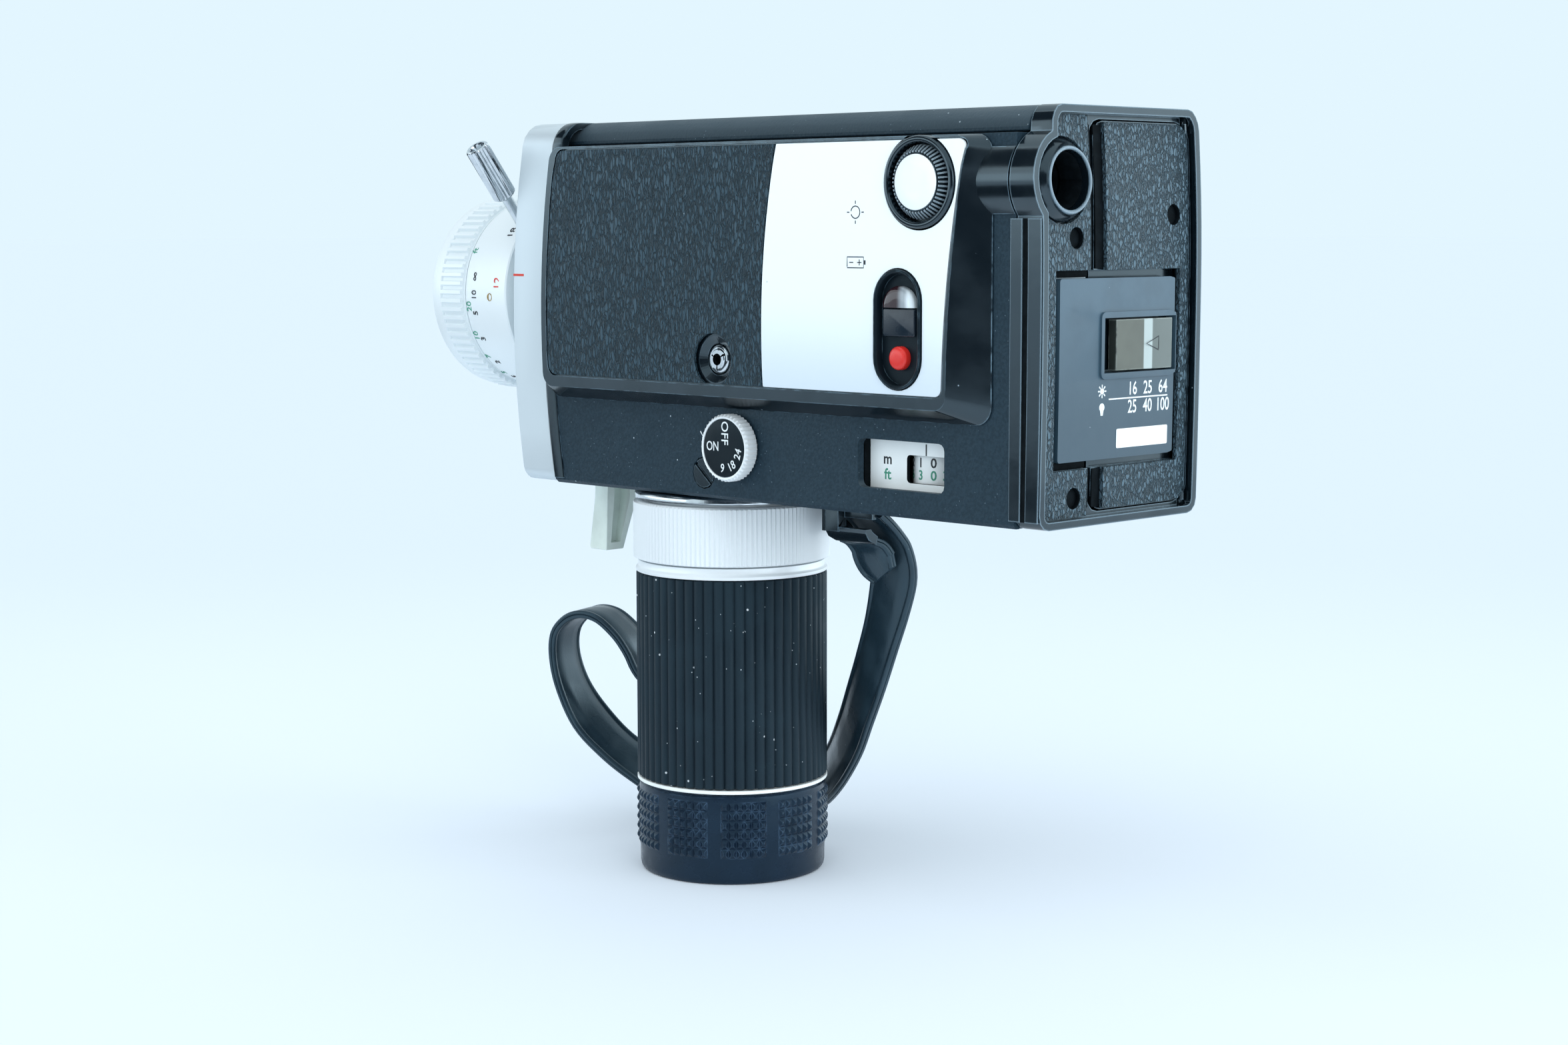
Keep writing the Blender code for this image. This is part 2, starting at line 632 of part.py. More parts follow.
def make_rear_frame():
    rim = prism(rear_outline(0.0), "Y", FRAME_FRONT, RIM_REAR)
    frame = add("rear_frame", "black_gloss", rim, smooth=25.0)
    cut(frame, prism(rear_outline(RIM_WALL), "Y", PANEL_FLOOR, 114.0))
    opening = rounded_box((DOOR_RIGHT - GAP, DOOR_Z[0] - GAP), (DOOR_LEFT + 0.9, DOOR_Z[1] + GAP), 3.4)
    cut(frame, prism(opening, "Y", 100.0, 114.0))
    cut(frame, box((0.0, POCKET_FLOOR, POCKET_Z[0]), (POCKET_X[1], 114.0, POCKET_Z[1])))
    cut(frame, rod("Y", (EYE_X, EYE_Z), 7.5, 100.0, 114.0, 24))
    cut(frame, rod("Z", (HINGE_X, HINGE_Y), 0.95, 90.0, 171.3, 16))

    strip = right_of(rear_outline(RIM_WALL + GAP), GROOVE_LEFT)
    leather = add("rear_strip_leather", "leatherette", prism(strip, "Y", LEATHER_LOW, LEATHER_HIGH))
    cut(leather, box((0.0, 106.0, POCKET_Z[0]), (POCKET_X[1], 114.0, POCKET_Z[1])))
    cut(leather, rod("Y", (EYE_X, EYE_Z), 8.6, 100.0, 114.0, 24))
    add("eyepiece_ring", "black_gloss", turned("Y", (EYE_X, EYE_Z), [
        (7.2, 103.8), (7.2, 107.8), (8.3, 107.8), (8.3, 108.5), (6.6, 110.2), (6.5, 111.1),
        (5.7, 111.1), (5.0, 103.8)], 28, closed=True))


def make_rear_door():
    hinge = (HINGE_X, HINGE_Y, 130.0)
    outline = rounded_box((DOOR_RIGHT, DOOR_Z[0]), (DOOR_LEFT, DOOR_Z[1]), 3.2)
    door = add("rear_door", "black_gloss", prism(outline, "Y", 103.6, 108.7), origin=hinge)
    cut(door, prism(rounded_box((-26.8, 89.0), (9.0, 172.0), 0.5), "Y", PANEL_FLOOR, 114.0))
    cut(door, box((POCKET_X[0], POCKET_FLOOR, POCKET_Z[0]), (9.0, 114.0, POCKET_Z[1])))
    join(door, rod("Z", (HINGE_X, HINGE_Y), 0.65, 90.4, 93.6, 12))
    join(door, rod("Z", (HINGE_X, HINGE_Y), 0.65, 167.6, 170.9, 12))

    outline = rounded_box((-26.5, 92.0), (2.9, 169.3), 2.6)
    skin = add("door_leather", "leatherette", prism(outline, "Y", LEATHER_LOW, LEATHER_HIGH), origin=hinge)
    cut(skin, box((POCKET_X[0], 106.0, POCKET_Z[0]), (9.0, 114.0, POCKET_Z[1])))

    outline = rounded_box((LATCH_X[0], LATCH_Z[0]), (LATCH_X[1], LATCH_Z[1]), 0.6)
    plate = add("latch_plate", "slate", prism(outline, "Y", 106.5, 108.5), origin=hinge)
    frame_low = (LATCH_X[0] + 0.01, SLIDER_Z[0] - 1.5)
    frame_high = (2.2, SLIDER_Z[1] + 1.5)
    join(plate, prism(rounded_box(frame_low, frame_high, 1.2), "Y", 107.0, 109.0))
    cut(plate, box((SLIDER_X[0] - GAP, 105.0, SLIDER_Z[0] - GAP), (1.2, 114.0, SLIDER_Z[1] + GAP)))
    ridge = -12.0
    profile = [(SLIDER_X[0], 106.6), (SLIDER_X[1], 106.6), (SLIDER_X[1], 109.6), (ridge + 1.2, 109.6),
               (ridge - 1.2, 110.2), (SLIDER_X[0], 110.2)]
    add("latch_slider", "olive", prism(profile, "Z", SLIDER_Z[0], SLIDER_Z[1]),
        origin=(SLIDER_X[0], 106.6, SLIDER_Z[0]))


def make_finder():
    tube = add("finder_tube", "inner_black",
               box((CHAMBER_X[1] + GAP, 28.0, 151.4), (BODY_LEFT - WALL - GAP, 103.0, 164.0)))
    cut(tube, rod("Y", (EYE_X, EYE_Z), 4.8, 20.0, 110.0))
    add("eyepiece_lens", "glass", turned("Y", (EYE_X, EYE_Z), [
        (2.5, 96.4), (4.5, 97.0), (4.5, 99.4), (2.5, 100.0)], 18), origin=(EYE_X, 98.0, EYE_Z))


def make_film_chamber():
    (x0, x1), (y0, y1), (z0, z1) = CHAMBER_X, CHAMBER_Y, CHAMBER_Z
    t = CHAMBER_WALL
    outer = rounded_box((x0, z0), (x1, z1), 3.0, 2)
    inner = rounded_box((x0 + t, z0 + t), (x1 - t, z1 - t), 1.8, 2)
    chamber = add("film_chamber", "inner_black", loft([
        [(x, y0, z) for x, z in outer], [(x, y1, z) for x, z in outer],
        [(x, y1, z) for x, z in inner], [(x, y0 + t, z) for x, z in inner]]))
    cut(chamber, box((LENS_X - 4.0, y0 - 2.0, LENS_Z - 4.0), (LENS_X + 4.0, y0 + 4.0, LENS_Z + 4.0)))
    cut(chamber, rod("X", (SPINDLE_Y, SPINDLE_Z), 3.2, 0.0, 5.0))
    gate_low = (LENS_X - 9.0, y0 - 1.7, LENS_Z - 14.0)
    gate_high = (LENS_X + 6.0, y0 - GAP, LENS_Z + 14.0)
    gate = add("film_gate", "brass", box(gate_low, gate_high))
    cut(gate, box((LENS_X - 3.0, y0 - 4.0, LENS_Z - 2.2), (LENS_X + 3.0, y0 + 2.0, LENS_Z + 2.2)))


def make_drive():
    plate = add("mechanism_plate", "steel", box((-16.0, 9.0, BODY_BOTTOM + WALL + GAP), (19.6, 10.4, 142.0)))
    cut(plate, rod("Y", (LENS_X, LENS_Z), 6.0, 5.0, 15.0))
    cut(plate, rod("Y", (SHUTTER_X, SHUTTER_Z), 1.8, 5.0, 15.0, 16))

    add("motor", "steel", turned("Y", (MOTOR_X, MOTOR_Z), [
        (7.4, 26.0), (7.4, 51.0), (1.6, 51.0), (1.6, 26.0)], 16, closed=True))
    pedestal = box((4.3, 28.0, BODY_BOTTOM + WALL + GAP), (18.0, 49.0, MOTOR_Z - 4.0))
    cradle = add("motor_cradle", "inner_black", pedestal)
    cut(cradle, rod("Y", (MOTOR_X, MOTOR_Z), 7.7, 20.0, 70.0, 20))

    line = math.atan2(SHUTTER_Z - MOTOR_Z, SHUTTER_X - MOTOR_X)
    angles, radii = gear_teeth(PINION_TEETH, 1.0, line)
    worm = []
    for y in levels(62.0, 74.0, 4)[:-1]:
        worm += [(2.1, y), (2.9, y + 0.9), (2.9, y + 1.5)]
    add("motor_rotor", "brass", turned("Y", (MOTOR_X, MOTOR_Z), [
        (1.2, 18.4), (1.2, GEAR_Y[0]), (radii, GEAR_Y[0]), (radii, GEAR_Y[1]), (1.2, GEAR_Y[1]), (1.2, 61.6)]
        + worm + [(1.2, 74.2), (1.2, 77.0)], PINION_TEETH, angles=angles), origin=(MOTOR_X, 40.0, MOTOR_Z))

    gap_phase = line + math.pi + math.pi / SHUTTER_TEETH
    angles, radii = gear_teeth(SHUTTER_TEETH, 1.0, gap_phase)
    shutter = add("shutter_disc", "inner_black", turned("Y", (SHUTTER_X, SHUTTER_Z), [
        (1.5, 7.5), (1.5, GEAR_Y[0]), (radii, GEAR_Y[0]), (radii, GEAR_Y[1]), (1.5, GEAR_Y[1]), (1.5, 21.9)],
        SHUTTER_TEETH // 2, angles=angles), origin=(SHUTTER_X, 14.0, SHUTTER_Z))
    blade = arc(SHUTTER_X, SHUTTER_Z, 17.2, 180, 360, 18) + arc(SHUTTER_X, SHUTTER_Z, 4.0, 0, 180, 6)
    join(shutter, prism(blade, "Y", 12.6, 13.4))

    angles, radii = gear_teeth(WHEEL_TEETH, 1.68, 0.0)
    spindle = add("takeup_spindle", "brass", turned("X", (SPINDLE_Y, SPINDLE_Z), [
        (2.0, -1.2), (2.6, -0.4), (2.6, 9.0), (radii, 9.0), (radii, 14.0), (2.0, 14.0), (2.0, 17.0)],
        10, angles=angles), origin=(9.0, SPINDLE_Y, SPINDLE_Z))
    for turn in range(3):
        angle = math.radians(120.0 * turn)
        cy = SPINDLE_Y + 2.6 * math.cos(angle)
        cz = SPINDLE_Z + 2.6 * math.sin(angle)
        join(spindle, box((-0.9, cy - 0.7, cz - 0.7), (1.2, cy + 0.7, cz + 0.7)))


def make_trigger():
    py, pz = TRIGGER_PIVOT
    pivot = (TRIGGER_X, py, pz)
    half = 4.7
    side = [
        (py + 2.6, pz - 1.5), (py + 2.6, pz + 2.4), (py - 2.4, pz + 2.6),
        (-40.6, 91.0), (-40.8, 84.0), (-42.8, 72.0), (-42.4, 71.4),
        (-38.9, 71.4), (-36.2, 84.0), (-35.9, 89.5), (py - 2.6, pz - 2.6)]
    trigger = add("trigger", "ivory", prism(side, "X", TRIGGER_X - half, TRIGGER_X + half), origin=pivot)
    hollow = [(-34.0, 87.5), (-39.2, 87.5), (-39.2, 84.0), (-40.6, 73.2), (-36.0, 73.2), (-34.0, 84.0)]
    cut(trigger, prism(hollow, "X", TRIGGER_X - 2.4, TRIGGER_X + 2.4))
    cut(trigger, rod("X", TRIGGER_PIVOT, 1.5, -20.0, 20.0, 16))
    floor = BODY_BOTTOM + WALL + GAP
    pin = rod("X", TRIGGER_PIVOT, 1.3, TRIGGER_X - 6.5, TRIGGER_X + 6.5, 16)
    bracket = add("trigger_bracket", "steel", pin)
    for sign in (-1.0, 1.0):
        x = TRIGGER_X + sign * 6.5
        join(bracket, box((x - 0.8, py - 1.9, floor), (x + 0.8, py + 3.0, pz + 2.5)))
    join(bracket, box((TRIGGER_X - 7.3, py + 3.0, floor), (TRIGGER_X + 7.3, py + 5.0, floor + 4.0)))


def make_grip():
    add("grip_flange", "chrome", turned("Z", (0.0, 0.0), [
        (22.3, 86.8), (22.4, 88.1), (21.4, 88.7), (17.0, 88.7), (17.0, 86.8)], closed=True))
    teeth = LOCK_TEETH
    flute = knurl(LOCK_R, 0.45, teeth)
    add("lock_ring", "satin_aluminium", turned("Z", (0.0, 0.0), [
        (flute, LOCK_Z[0] + 0.3), (flute, LOCK_Z[1] - 0.3), (21.9, LOCK_Z[1]),
        (20.0, LOCK_Z[1]), (20.0, LOCK_Z[0]), (21.9, LOCK_Z[0])],
        28, closed=True, angles=even_angles(2 * teeth)), origin=(0.0, 0.0, LOCK_Z[0]))
    add("grip_tube", "satin_aluminium", turned("Z", (0.0, 0.0), [
        (18.8, 4.5), (18.8, 20.9), (20.0, 20.9), (20.0, 69.9), (22.2, 69.9), (21.6, 71.2),
        (21.6, 72.5), (19.7, 72.5), (19.7, 86.5), (17.9, 86.5), (17.9, 4.5)],
        24, closed=True))
    ribs = knurl(SLEEVE_R, 0.55, RIBS)
    add("grip_sleeve", "rubber", turned("Z", (0.0, 0.0), [
        (ribs, SLEEVE_Z[0]), (ribs, SLEEVE_Z[1]), (20.3, SLEEVE_Z[1]), (20.3, SLEEVE_Z[0])],
        RIBS // 2, closed=True, angles=even_angles(2 * RIBS)), smooth=60.0)
    add("trim_ring", "silver_panel", turned("Z", (0.0, 0.0), [
        (22.1, 21.1), (22.1, 21.9), (20.3, 21.9), (20.3, 21.1)], closed=True))
    add("battery_cap", "navy_plastic", turned("Z", (0.0, 0.0), [
        (20.6, 0.0), (CAP_R, 1.0), (CAP_R, 20.2), (21.3, CAP_TOP), (19.1, CAP_TOP), (19.1, 2.3)]))
    add("cap_contact", "brass", turned("Z", (0.0, 0.0), [
        (17.2, 2.6), (17.2, 3.6), (12.5, 3.6), (11.5, 10.6), (6.0, 10.6), (5.0, 2.6)], 14, closed=True))
    number = 1
    for x in (-CELL_OFFSET, CELL_OFFSET):
        for y in (-CELL_OFFSET, CELL_OFFSET):
            add(f"battery_cell_{number}", "cell_wrap", turned("Z", (x, y), [
                (CELL_R, 11.0), (CELL_R, 60.4), (2.6, 60.4), (2.6, 61.5)], 12))
            number += 1
    add("battery_contacts", "brass", turned("Z", (0.0, 0.0), [
        (17.5, 61.9), (17.5, 63.4), (5.5, 63.4), (4.6, 84.2), (3.0, 84.2), (3.0, 61.9)], 14, closed=True))


STRAP_ROUTE = (
    # position, direction across the strap
    ((3.0, 44.2, 86.5), (0.0, 1.0, 0.0)),
    ((0.0, 44.3, 84.2), (0.0, 1.0, 0.0)),
    ((-3.0, 44.4, 81.4), (0.0, 1.0, 0.0)),
    ((-5.6, 44.4, 78.2), (0.0, 1.0, 0.0)),
    ((-7.6, 44.0, 72.6), (0.0, 1.0, 0.0)),
    ((-9.0, 41.5, 65.7), (0.08, 0.96, -0.22)),
    ((-10.4, 37.6, 57.0), (0.19, 0.87, -0.44)),
    ((-12.7, 32.2, 47.6), (0.21, 0.79, -0.58)),
    ((-16.2, 25.8, 39.1), (0.22, 0.72, -0.66)),
    ((-20.6, 18.4, 30.2), (0.22, 0.64, -0.74)),
    ((-26.3, 8.2, 20.6), (0.3, 0.5, -0.8)),
    ((-32.0, -2.5, 13.6), (0.4, 0.35, -0.82)),
    ((-35.5, -13.5, 9.6), (0.55, 0.2, -0.78)),
    ((-34.0, -24.9, 7.8), (0.7, 0.15, -0.66)),
    ((-27.0, -34.5, 7.4), (0.8, 0.2, -0.45)),
    ((-19.5, -41.6, 10.4), (0.78, 0.2, -0.5)),
    ((-13.0, -46.8, 15.3), (0.85, 0.25, -0.4)),
    ((-9.5, -52.5, 20.1), (0.88, 0.25, -0.35)),
    ((-6.5, -57.9, 26.4), (0.85, 0.25, -0.4)),
    ((-4.5, -61.9, 33.9), (0.93, 0.3, -0.2)),
    ((-4.0, -64.5, 41.4), (0.95, 0.32, -0.05)),
    ((-4.0, -64.1, 47.6), (0.95, 0.32, 0.0)),
    ((-4.5, -60.5, 51.7), (0.95, 0.32, 0.0)),
    ((-5.5, -56.1, 53.4), (0.95, 0.32, 0.0)),
    ((-7.0, -51.7, 52.7), (0.95, 0.32, 0.0)),
    ((-9.2, -48.2, 49.4), (0.95, 0.32, 0.0)),
    ((-11.3, -46.0, 45.4), (0.95, 0.3, 0.0)),
    ((-14.8, -45.0, 40.0), (0.92, 0.25, -0.1)),
    ((-21.0, -43.6, 35.2), (0.88, 0.2, -0.25)),
    ((-29.0, -38.6, 32.8), (0.75, 0.2, -0.5)),
    ((-33.5, -28.0, 38.5), (0.7, 0.35, -0.5)),
    ((-34.5, -17.3, 51.3), (0.7, 0.5, -0.4)),
    ((-34.0, -12.2, 63.3), (0.7, 0.5, -0.4)),
    ((-32.0, -7.1, 74.2), (0.6, 0.3, -0.65)),
    ((-28.0, 4.0, 82.6), (0.35, -0.1, -0.9)),
    ((-20.0, 21.5, 84.1), (0.2, -0.3, -0.92)),
    ((-8.0, 31.5, 84.2), (0.1, -0.2, -0.97)),
    ((-1.9, 34.9, 84.2), (0.0, 0.0, -1.0)),
)
TONGUE_ROUTE = (
    ((3.0, 43.0, 80.5), (0.0, 1.0, 0.0)),
    ((1.0, 43.2, 79.6), (0.0, 1.0, 0.0)),
    ((-0.6, 43.6, 77.9), (0.0, 1.0, 0.0)),
    ((-1.6, 44.1, 75.4), (0.0, 1.0, 0.0)),
    ((-2.3, 46.0, 72.4), (0.0, 1.0, 0.0)),
)


def smooth_route(points, steps):
    """A smooth curve through points, with a few steps on each stretch."""
    curve = []
    last = len(points) - 1
    for i in range(last):
        before = points[max(i - 1, 0)]
        here = points[i]
        there = points[i + 1]
        after = points[min(i + 2, last)]
        for k in range(steps):
            t = k / steps
            bend = (2.0 * before - 5.0 * here + 4.0 * there - after) * t * t
            twist = (3.0 * here - before - 3.0 * there + after) * t ** 3
            curve.append(here + 0.5 * ((there - before) * t + bend + twist))
    curve.append(points[last])
    return curve


def ribbon(route, widths, thick, steps):
    """A flat strap along a route of positions and directions across it, with its width at each."""
    places = smooth_route([Vector(place) for place, _ in route], steps)
    crosses = smooth_route([Vector(cross).normalized() for _, cross in route], steps)
    rings = []
    last = len(places) - 1
    for i, width in enumerate(smooth_route(widths, steps)):
        tangent = (places[min(i + 1, last)] - places[max(i - 1, 0)]).normalized()
        across = (crosses[i] - tangent * crosses[i].dot(tangent)).normalized()
        up = tangent.cross(across)
        ring = []
        for u, v in ((0.5, 0.5), (0.5, -0.5), (-0.5, -0.5), (-0.5, 0.5)):
            ring.append(places[i] + across * width * u + up * thick * v)
        rings.append(ring)
    return loft(rings)


def make_strap():
    far, anchor, inner, near = LUG_X
    front, wall, post, rear = LUG_Y
    low, middle, top = LUG_Z
    lug = add("strap_lug", "black_gloss", box((anchor, front, middle), (inner, rear, top)))
    join(lug, box((far, front, low), (near, wall, top - 0.1)))
    join(lug, box((inner - 0.5, front + 0.1, low + 0.1), (near - 0.1, post, top - 0.2)))
    tab = [(7.4, 83.4), (7.2, 82.5), (6.2, 81.0), (3.8, 79.8), (3.3, 81.6), (5.0, 82.7), (5.5, 83.4)]
    join(lug, prism(tab, "Y", front + 0.6, rear - 0.2))

    full = len(STRAP_ROUTE) - len(STRAP_NECK)
    widths = [STRAP_WIDTH] * full + list(STRAP_NECK)
    add("strap", "vinyl", ribbon(STRAP_ROUTE, widths, STRAP_THICK, 2), smooth=60.0)
    add("strap_keeper", "vinyl", ribbon(TONGUE_ROUTE, TONGUE_WIDTHS, STRAP_THICK, 2), smooth=60.0)


def main():
    clear_scene()
    make_housing()
    make_front_plate()
    make_pod()
    make_pod_controls()
    make_side_controls()
    make_lens()
    make_rear_frame()
    make_rear_door()
    make_finder()
    make_film_chamber()
    make_drive()
    make_trigger()
    make_grip()
    make_strap()
    bpy.context.view_layer.update()


main()
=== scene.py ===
"""Looks of a cine camera with a pistol grip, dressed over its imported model.

Lengths are in millimetres and become metres when a mesh is made. +Z is up, the lens looks
along -Y, the operator's left is +X, and the origin is the centre of the grip's base.
"""
import json
import math

import bmesh
import bpy
from mathutils import Matrix, Vector

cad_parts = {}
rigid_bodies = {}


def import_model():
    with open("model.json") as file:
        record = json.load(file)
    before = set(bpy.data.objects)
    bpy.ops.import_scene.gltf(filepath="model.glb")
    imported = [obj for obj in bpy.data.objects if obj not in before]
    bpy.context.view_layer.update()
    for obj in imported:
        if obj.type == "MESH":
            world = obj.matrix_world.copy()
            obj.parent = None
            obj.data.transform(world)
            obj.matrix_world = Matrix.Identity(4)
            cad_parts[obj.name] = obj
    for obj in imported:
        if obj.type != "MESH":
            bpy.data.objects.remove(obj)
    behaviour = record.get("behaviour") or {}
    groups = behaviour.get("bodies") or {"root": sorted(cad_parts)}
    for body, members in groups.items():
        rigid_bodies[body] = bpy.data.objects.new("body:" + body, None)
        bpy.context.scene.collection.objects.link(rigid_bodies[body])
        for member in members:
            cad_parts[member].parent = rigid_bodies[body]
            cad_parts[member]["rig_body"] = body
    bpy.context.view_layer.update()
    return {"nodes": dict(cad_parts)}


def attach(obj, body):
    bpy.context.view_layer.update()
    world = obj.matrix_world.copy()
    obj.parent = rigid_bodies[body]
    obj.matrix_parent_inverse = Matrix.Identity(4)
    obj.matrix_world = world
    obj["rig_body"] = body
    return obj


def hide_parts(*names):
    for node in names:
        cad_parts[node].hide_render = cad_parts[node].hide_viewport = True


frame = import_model()
nodes = frame["nodes"]

MM = 0.001

# Camera
CAMERA_PLACE = (421.9, 435.8, 149.7)
CAMERA_AZIMUTH = 134.78
CAMERA_PITCH = 6.51
CAMERA_ROLL = -0.1
CAMERA_LENS = 60.546

# Studio
BACKGROUND = (0.770, 0.922, 1.0)
SKY_LIGHT = (0.76, 0.84, 0.89)
FLOOR_COLOUR = (0.814, 0.886, 0.965)
FLOOR_FAR = (0.712, 0.788, 0.860)
FLOOR_MIDDLE = (0.25, 0.25, 0.0)
FLOOR_GLOW = 0.06

# Body
BODY_LEFT = 22.0
BODY_RIGHT = -29.6
BODY_BOTTOM = 89.0
BODY_TOP = 172.5
BODY_FRONT = -40.0
TOP_CORNER = 5.0
LOW_CORNER = 3.0
LIP_X = 18.3
LIP_Z = 167.3
BOW_Z = 127.0
BOW_RADIUS = 200.0

# Lens
LENS = (-3.5, 132.4)
BARREL_R = 17.8
FOCUS_TEETH = 70
LEVER_BASE = (13.1, -54.2, 144.5)
LEVER_LEAN = math.radians(36.9)

# Side controls
POD_Z = (112.0, 166.7)
TUNNEL_R = 10.3
INSERT_X = (26.4, 27.0)
INSERT_Z = (114.8, 165.9)
INSERT_FRONT = -33.2
PANEL_SPLIT = 37.0
KNOB = (82.0, 157.5)
CHECK = (76.3, 128.0)
BUTTON = (76.3, 122.2)
JACK = (22.2, 120.0)
DIAL = (24.2, 100.8)
DRUM = (10.1, 74.6)
DRUM_R = 6.8

# Rear
EYE = (14.4, 157.7)
LEATHER_Y = (107.8, 108.8)
RIDGE_X = -13.0
PLATE_TOP = 108.5
REAR_SEAM = 103.4
REAR_FLAT = 108.0
DOOR_INSIDE = 106.6
DOOR_Z = (91.7, 169.6)
SAG_Z = 138.0
SAG_RADIUS_HIGH = 400.0
SAG_RADIUS_LOW = 2200.0

# Grip
GRIP = (0.0, 0.0)
RIBS = 57
LOCK_TEETH = 126
PATCHES = 10
PATCH_START = 52.7

# Strap
STRAP_WIDTH = 12.6
STRAP_NECK = (11.6, 10.0, 8.4, 8.4, 8.4)
STRAP_HALF_THICK = 1.0
TONGUE_WIDTHS = (11.8, 11.8, 11.8, 11.8, 8.0)


def bow(z):
    """How far a bowed front edge falls back at height z."""
    return (z - BOW_Z) ** 2 / (2.0 * BOW_RADIUS)


# Materials


# How brushed lines run: short on two axes and long on the third
UPRIGHT = (6.0, 6.0, 0.15)
LENGTHWISE = (6.0, 0.15, 6.0)
ROUND_Y = (1.0, 8.0, 1.0)
ROUND_Z = (1.0, 1.0, 8.0)


class Finish:
    """A Principled material and short calls for the texture nodes that feed it, in millimetres."""

    def __init__(self, name, slot, colour, roughness, metallic=0.0):
        self.made = bpy.data.materials.new("look_" + name)
        self.made.use_nodes = True
        self.made["slot"] = slot
        self.tree = self.made.node_tree
        self.shader = self.tree.nodes["Principled BSDF"]
        self.colour = (*colour, 1.0)
        self.height = None
        self.put("Base Color", self.colour)
        self.put("Roughness", roughness)
        self.put("Metallic", metallic)

    def put(self, socket, source):
        self.feed(self.shader, socket, source)

    def feed(self, node, socket, source):
        """Links an output to a socket, or sets the socket's own value."""
        if isinstance(source, bpy.types.NodeSocket):
            self.tree.links.new(source, node.inputs[socket])
        else:
            node.inputs[socket].default_value = source

    def add(self, kind, **settings):
        node = self.tree.nodes.new("ShaderNode" + kind)
        for key, value in settings.items():
            setattr(node, key, value)
        return node

    def space(self, stretch=(1.0, 1.0, 1.0)):
        """The object's own coordinates in millimetres, stretched along each axis."""
        coords = self.add("TexCoord")
        mapping = self.add("Mapping")
        self.feed(mapping, "Vector", coords.outputs["Object"])
        self.feed(mapping, "Scale", tuple(s / MM for s in stretch))
        return mapping.outputs["Vector"]

    def axis(self, letter):
        """One coordinate in millimetres."""
        split = self.add("SeparateXYZ")
        self.feed(split, "Vector", self.space())
        return split.outputs[letter]

    def noise(self, scale, detail=2.0, stretch=(1.0, 1.0, 1.0), distortion=0.0):
        node = self.add("TexNoise")
        self.feed(node, "Vector", self.space(stretch))
        self.feed(node, "Scale", scale)
        self.feed(node, "Detail", detail)
        self.feed(node, "Distortion", distortion)
        return node.outputs["Fac"]

    def cells(self, scale, stretch=(1.0, 1.0, 1.0), feature="F1", bend=0.0):
        """Distances in a cell pattern, with its lines bent by noise."""
        node = self.add("TexVoronoi", feature=feature)
        vector = self.space(stretch)
        if bend:
            swirl = self.add("TexNoise")
            self.feed(swirl, "Vector", vector)
            self.feed(swirl, "Scale", scale * 1.3)
            shift = self.add("VectorMath", operation="MULTIPLY_ADD")
            self.feed(shift, 0, swirl.outputs["Color"])
            self.feed(shift, 1, (bend, bend, bend))
            self.feed(shift, 2, vector)
            vector = shift.outputs["Vector"]
        self.feed(node, "Vector", vector)
        self.feed(node, "Scale", scale)
        return node.outputs["Distance"]

    def ease(self, value, low, high, first=0.0, last=1.0):
        """Maps a value smoothly from one range to another."""
        node = self.add("MapRange", interpolation_type="SMOOTHSTEP")
        self.feed(node, "Value", value)
        for socket, number in (("From Min", low), ("From Max", high), ("To Min", first), ("To Max", last)):
            self.feed(node, socket, number)
        return node.outputs["Result"]

    def calc(self, operation, first, second=0.0):
        node = self.add("Math", operation=operation)
        self.feed(node, 0, first)
        self.feed(node, 1, second)
        return node.outputs["Value"]

    def tint(self, factor, colour):
        """Lays another colour over the base colour where factor is high."""
        node = self.add("MixRGB")
        self.feed(node, "Fac", factor)
        self.feed(node, "Color1", self.colour)
        self.feed(node, "Color2", (*colour, 1.0))
        self.colour = node.outputs["Color"]
        self.put("Base Color", self.colour)

    def shine(self, level, tint=(0.66, 0.88, 1.0), index=1.5):
        """Sets how strongly the surface mirrors, and in which colour."""
        self.put("Specular IOR Level", level)
        self.put("Specular Tint", (*tint, 1.0))
        self.put("IOR", index)

    def rough(self, value, low, high, first, last):
        self.put("Roughness", self.ease(value, low, high, first, last))

    def bump(self, height, depth):
        """Adds relief of a given depth in millimetres."""
        node = self.add("Bump")
        self.feed(node, "Height", height)
        self.feed(node, "Distance", depth * MM)
        if self.height:
            self.feed(node, "Normal", self.height)
        self.height = node.outputs["Normal"]
        self.put("Normal", self.height)

    def edges(self, radius):
        """High near the piece's edges, found by comparing rounded and true normals."""
        soft = self.add("Bevel", samples=4)
        self.feed(soft, "Radius", radius * MM)
        true = self.add("NewGeometry")
        dot = self.add("VectorMath", operation="DOT_PRODUCT")
        self.feed(dot, 0, soft.outputs["Normal"])
        self.feed(dot, 1, true.outputs["Normal"])
        return self.ease(dot.outputs["Value"], 0.995, 0.90)

    def painted_top_light(self, low, high):
        """High where the surface faces up; it paints the upper faces paler, a painted highlight from the light above.
        """
        split = self.add("SeparateXYZ")
        self.feed(split, "Vector", self.add("NewGeometry").outputs["Normal"])
        return self.ease(split.outputs["Z"], low, high)

    def wear(self, radius, colour, low=0.45, high=0.62):
        """Rubbed edges, broken up by noise."""
        broken = self.ease(self.noise(0.35, 4.0), low, high)
        self.tint(self.calc("MULTIPLY", self.edges(radius), broken), colour)

    def specks(self, scale, size, colour, share=0.6):
        """Small spots of dust, only where a noise is high."""
        spot = self.ease(self.cells(scale), size * 1.25, size * 0.75)
        some = self.ease(self.noise(scale * 0.4, 1.0), share - 0.02, share + 0.02)
        self.tint(self.calc("MULTIPLY", spot, some), colour)


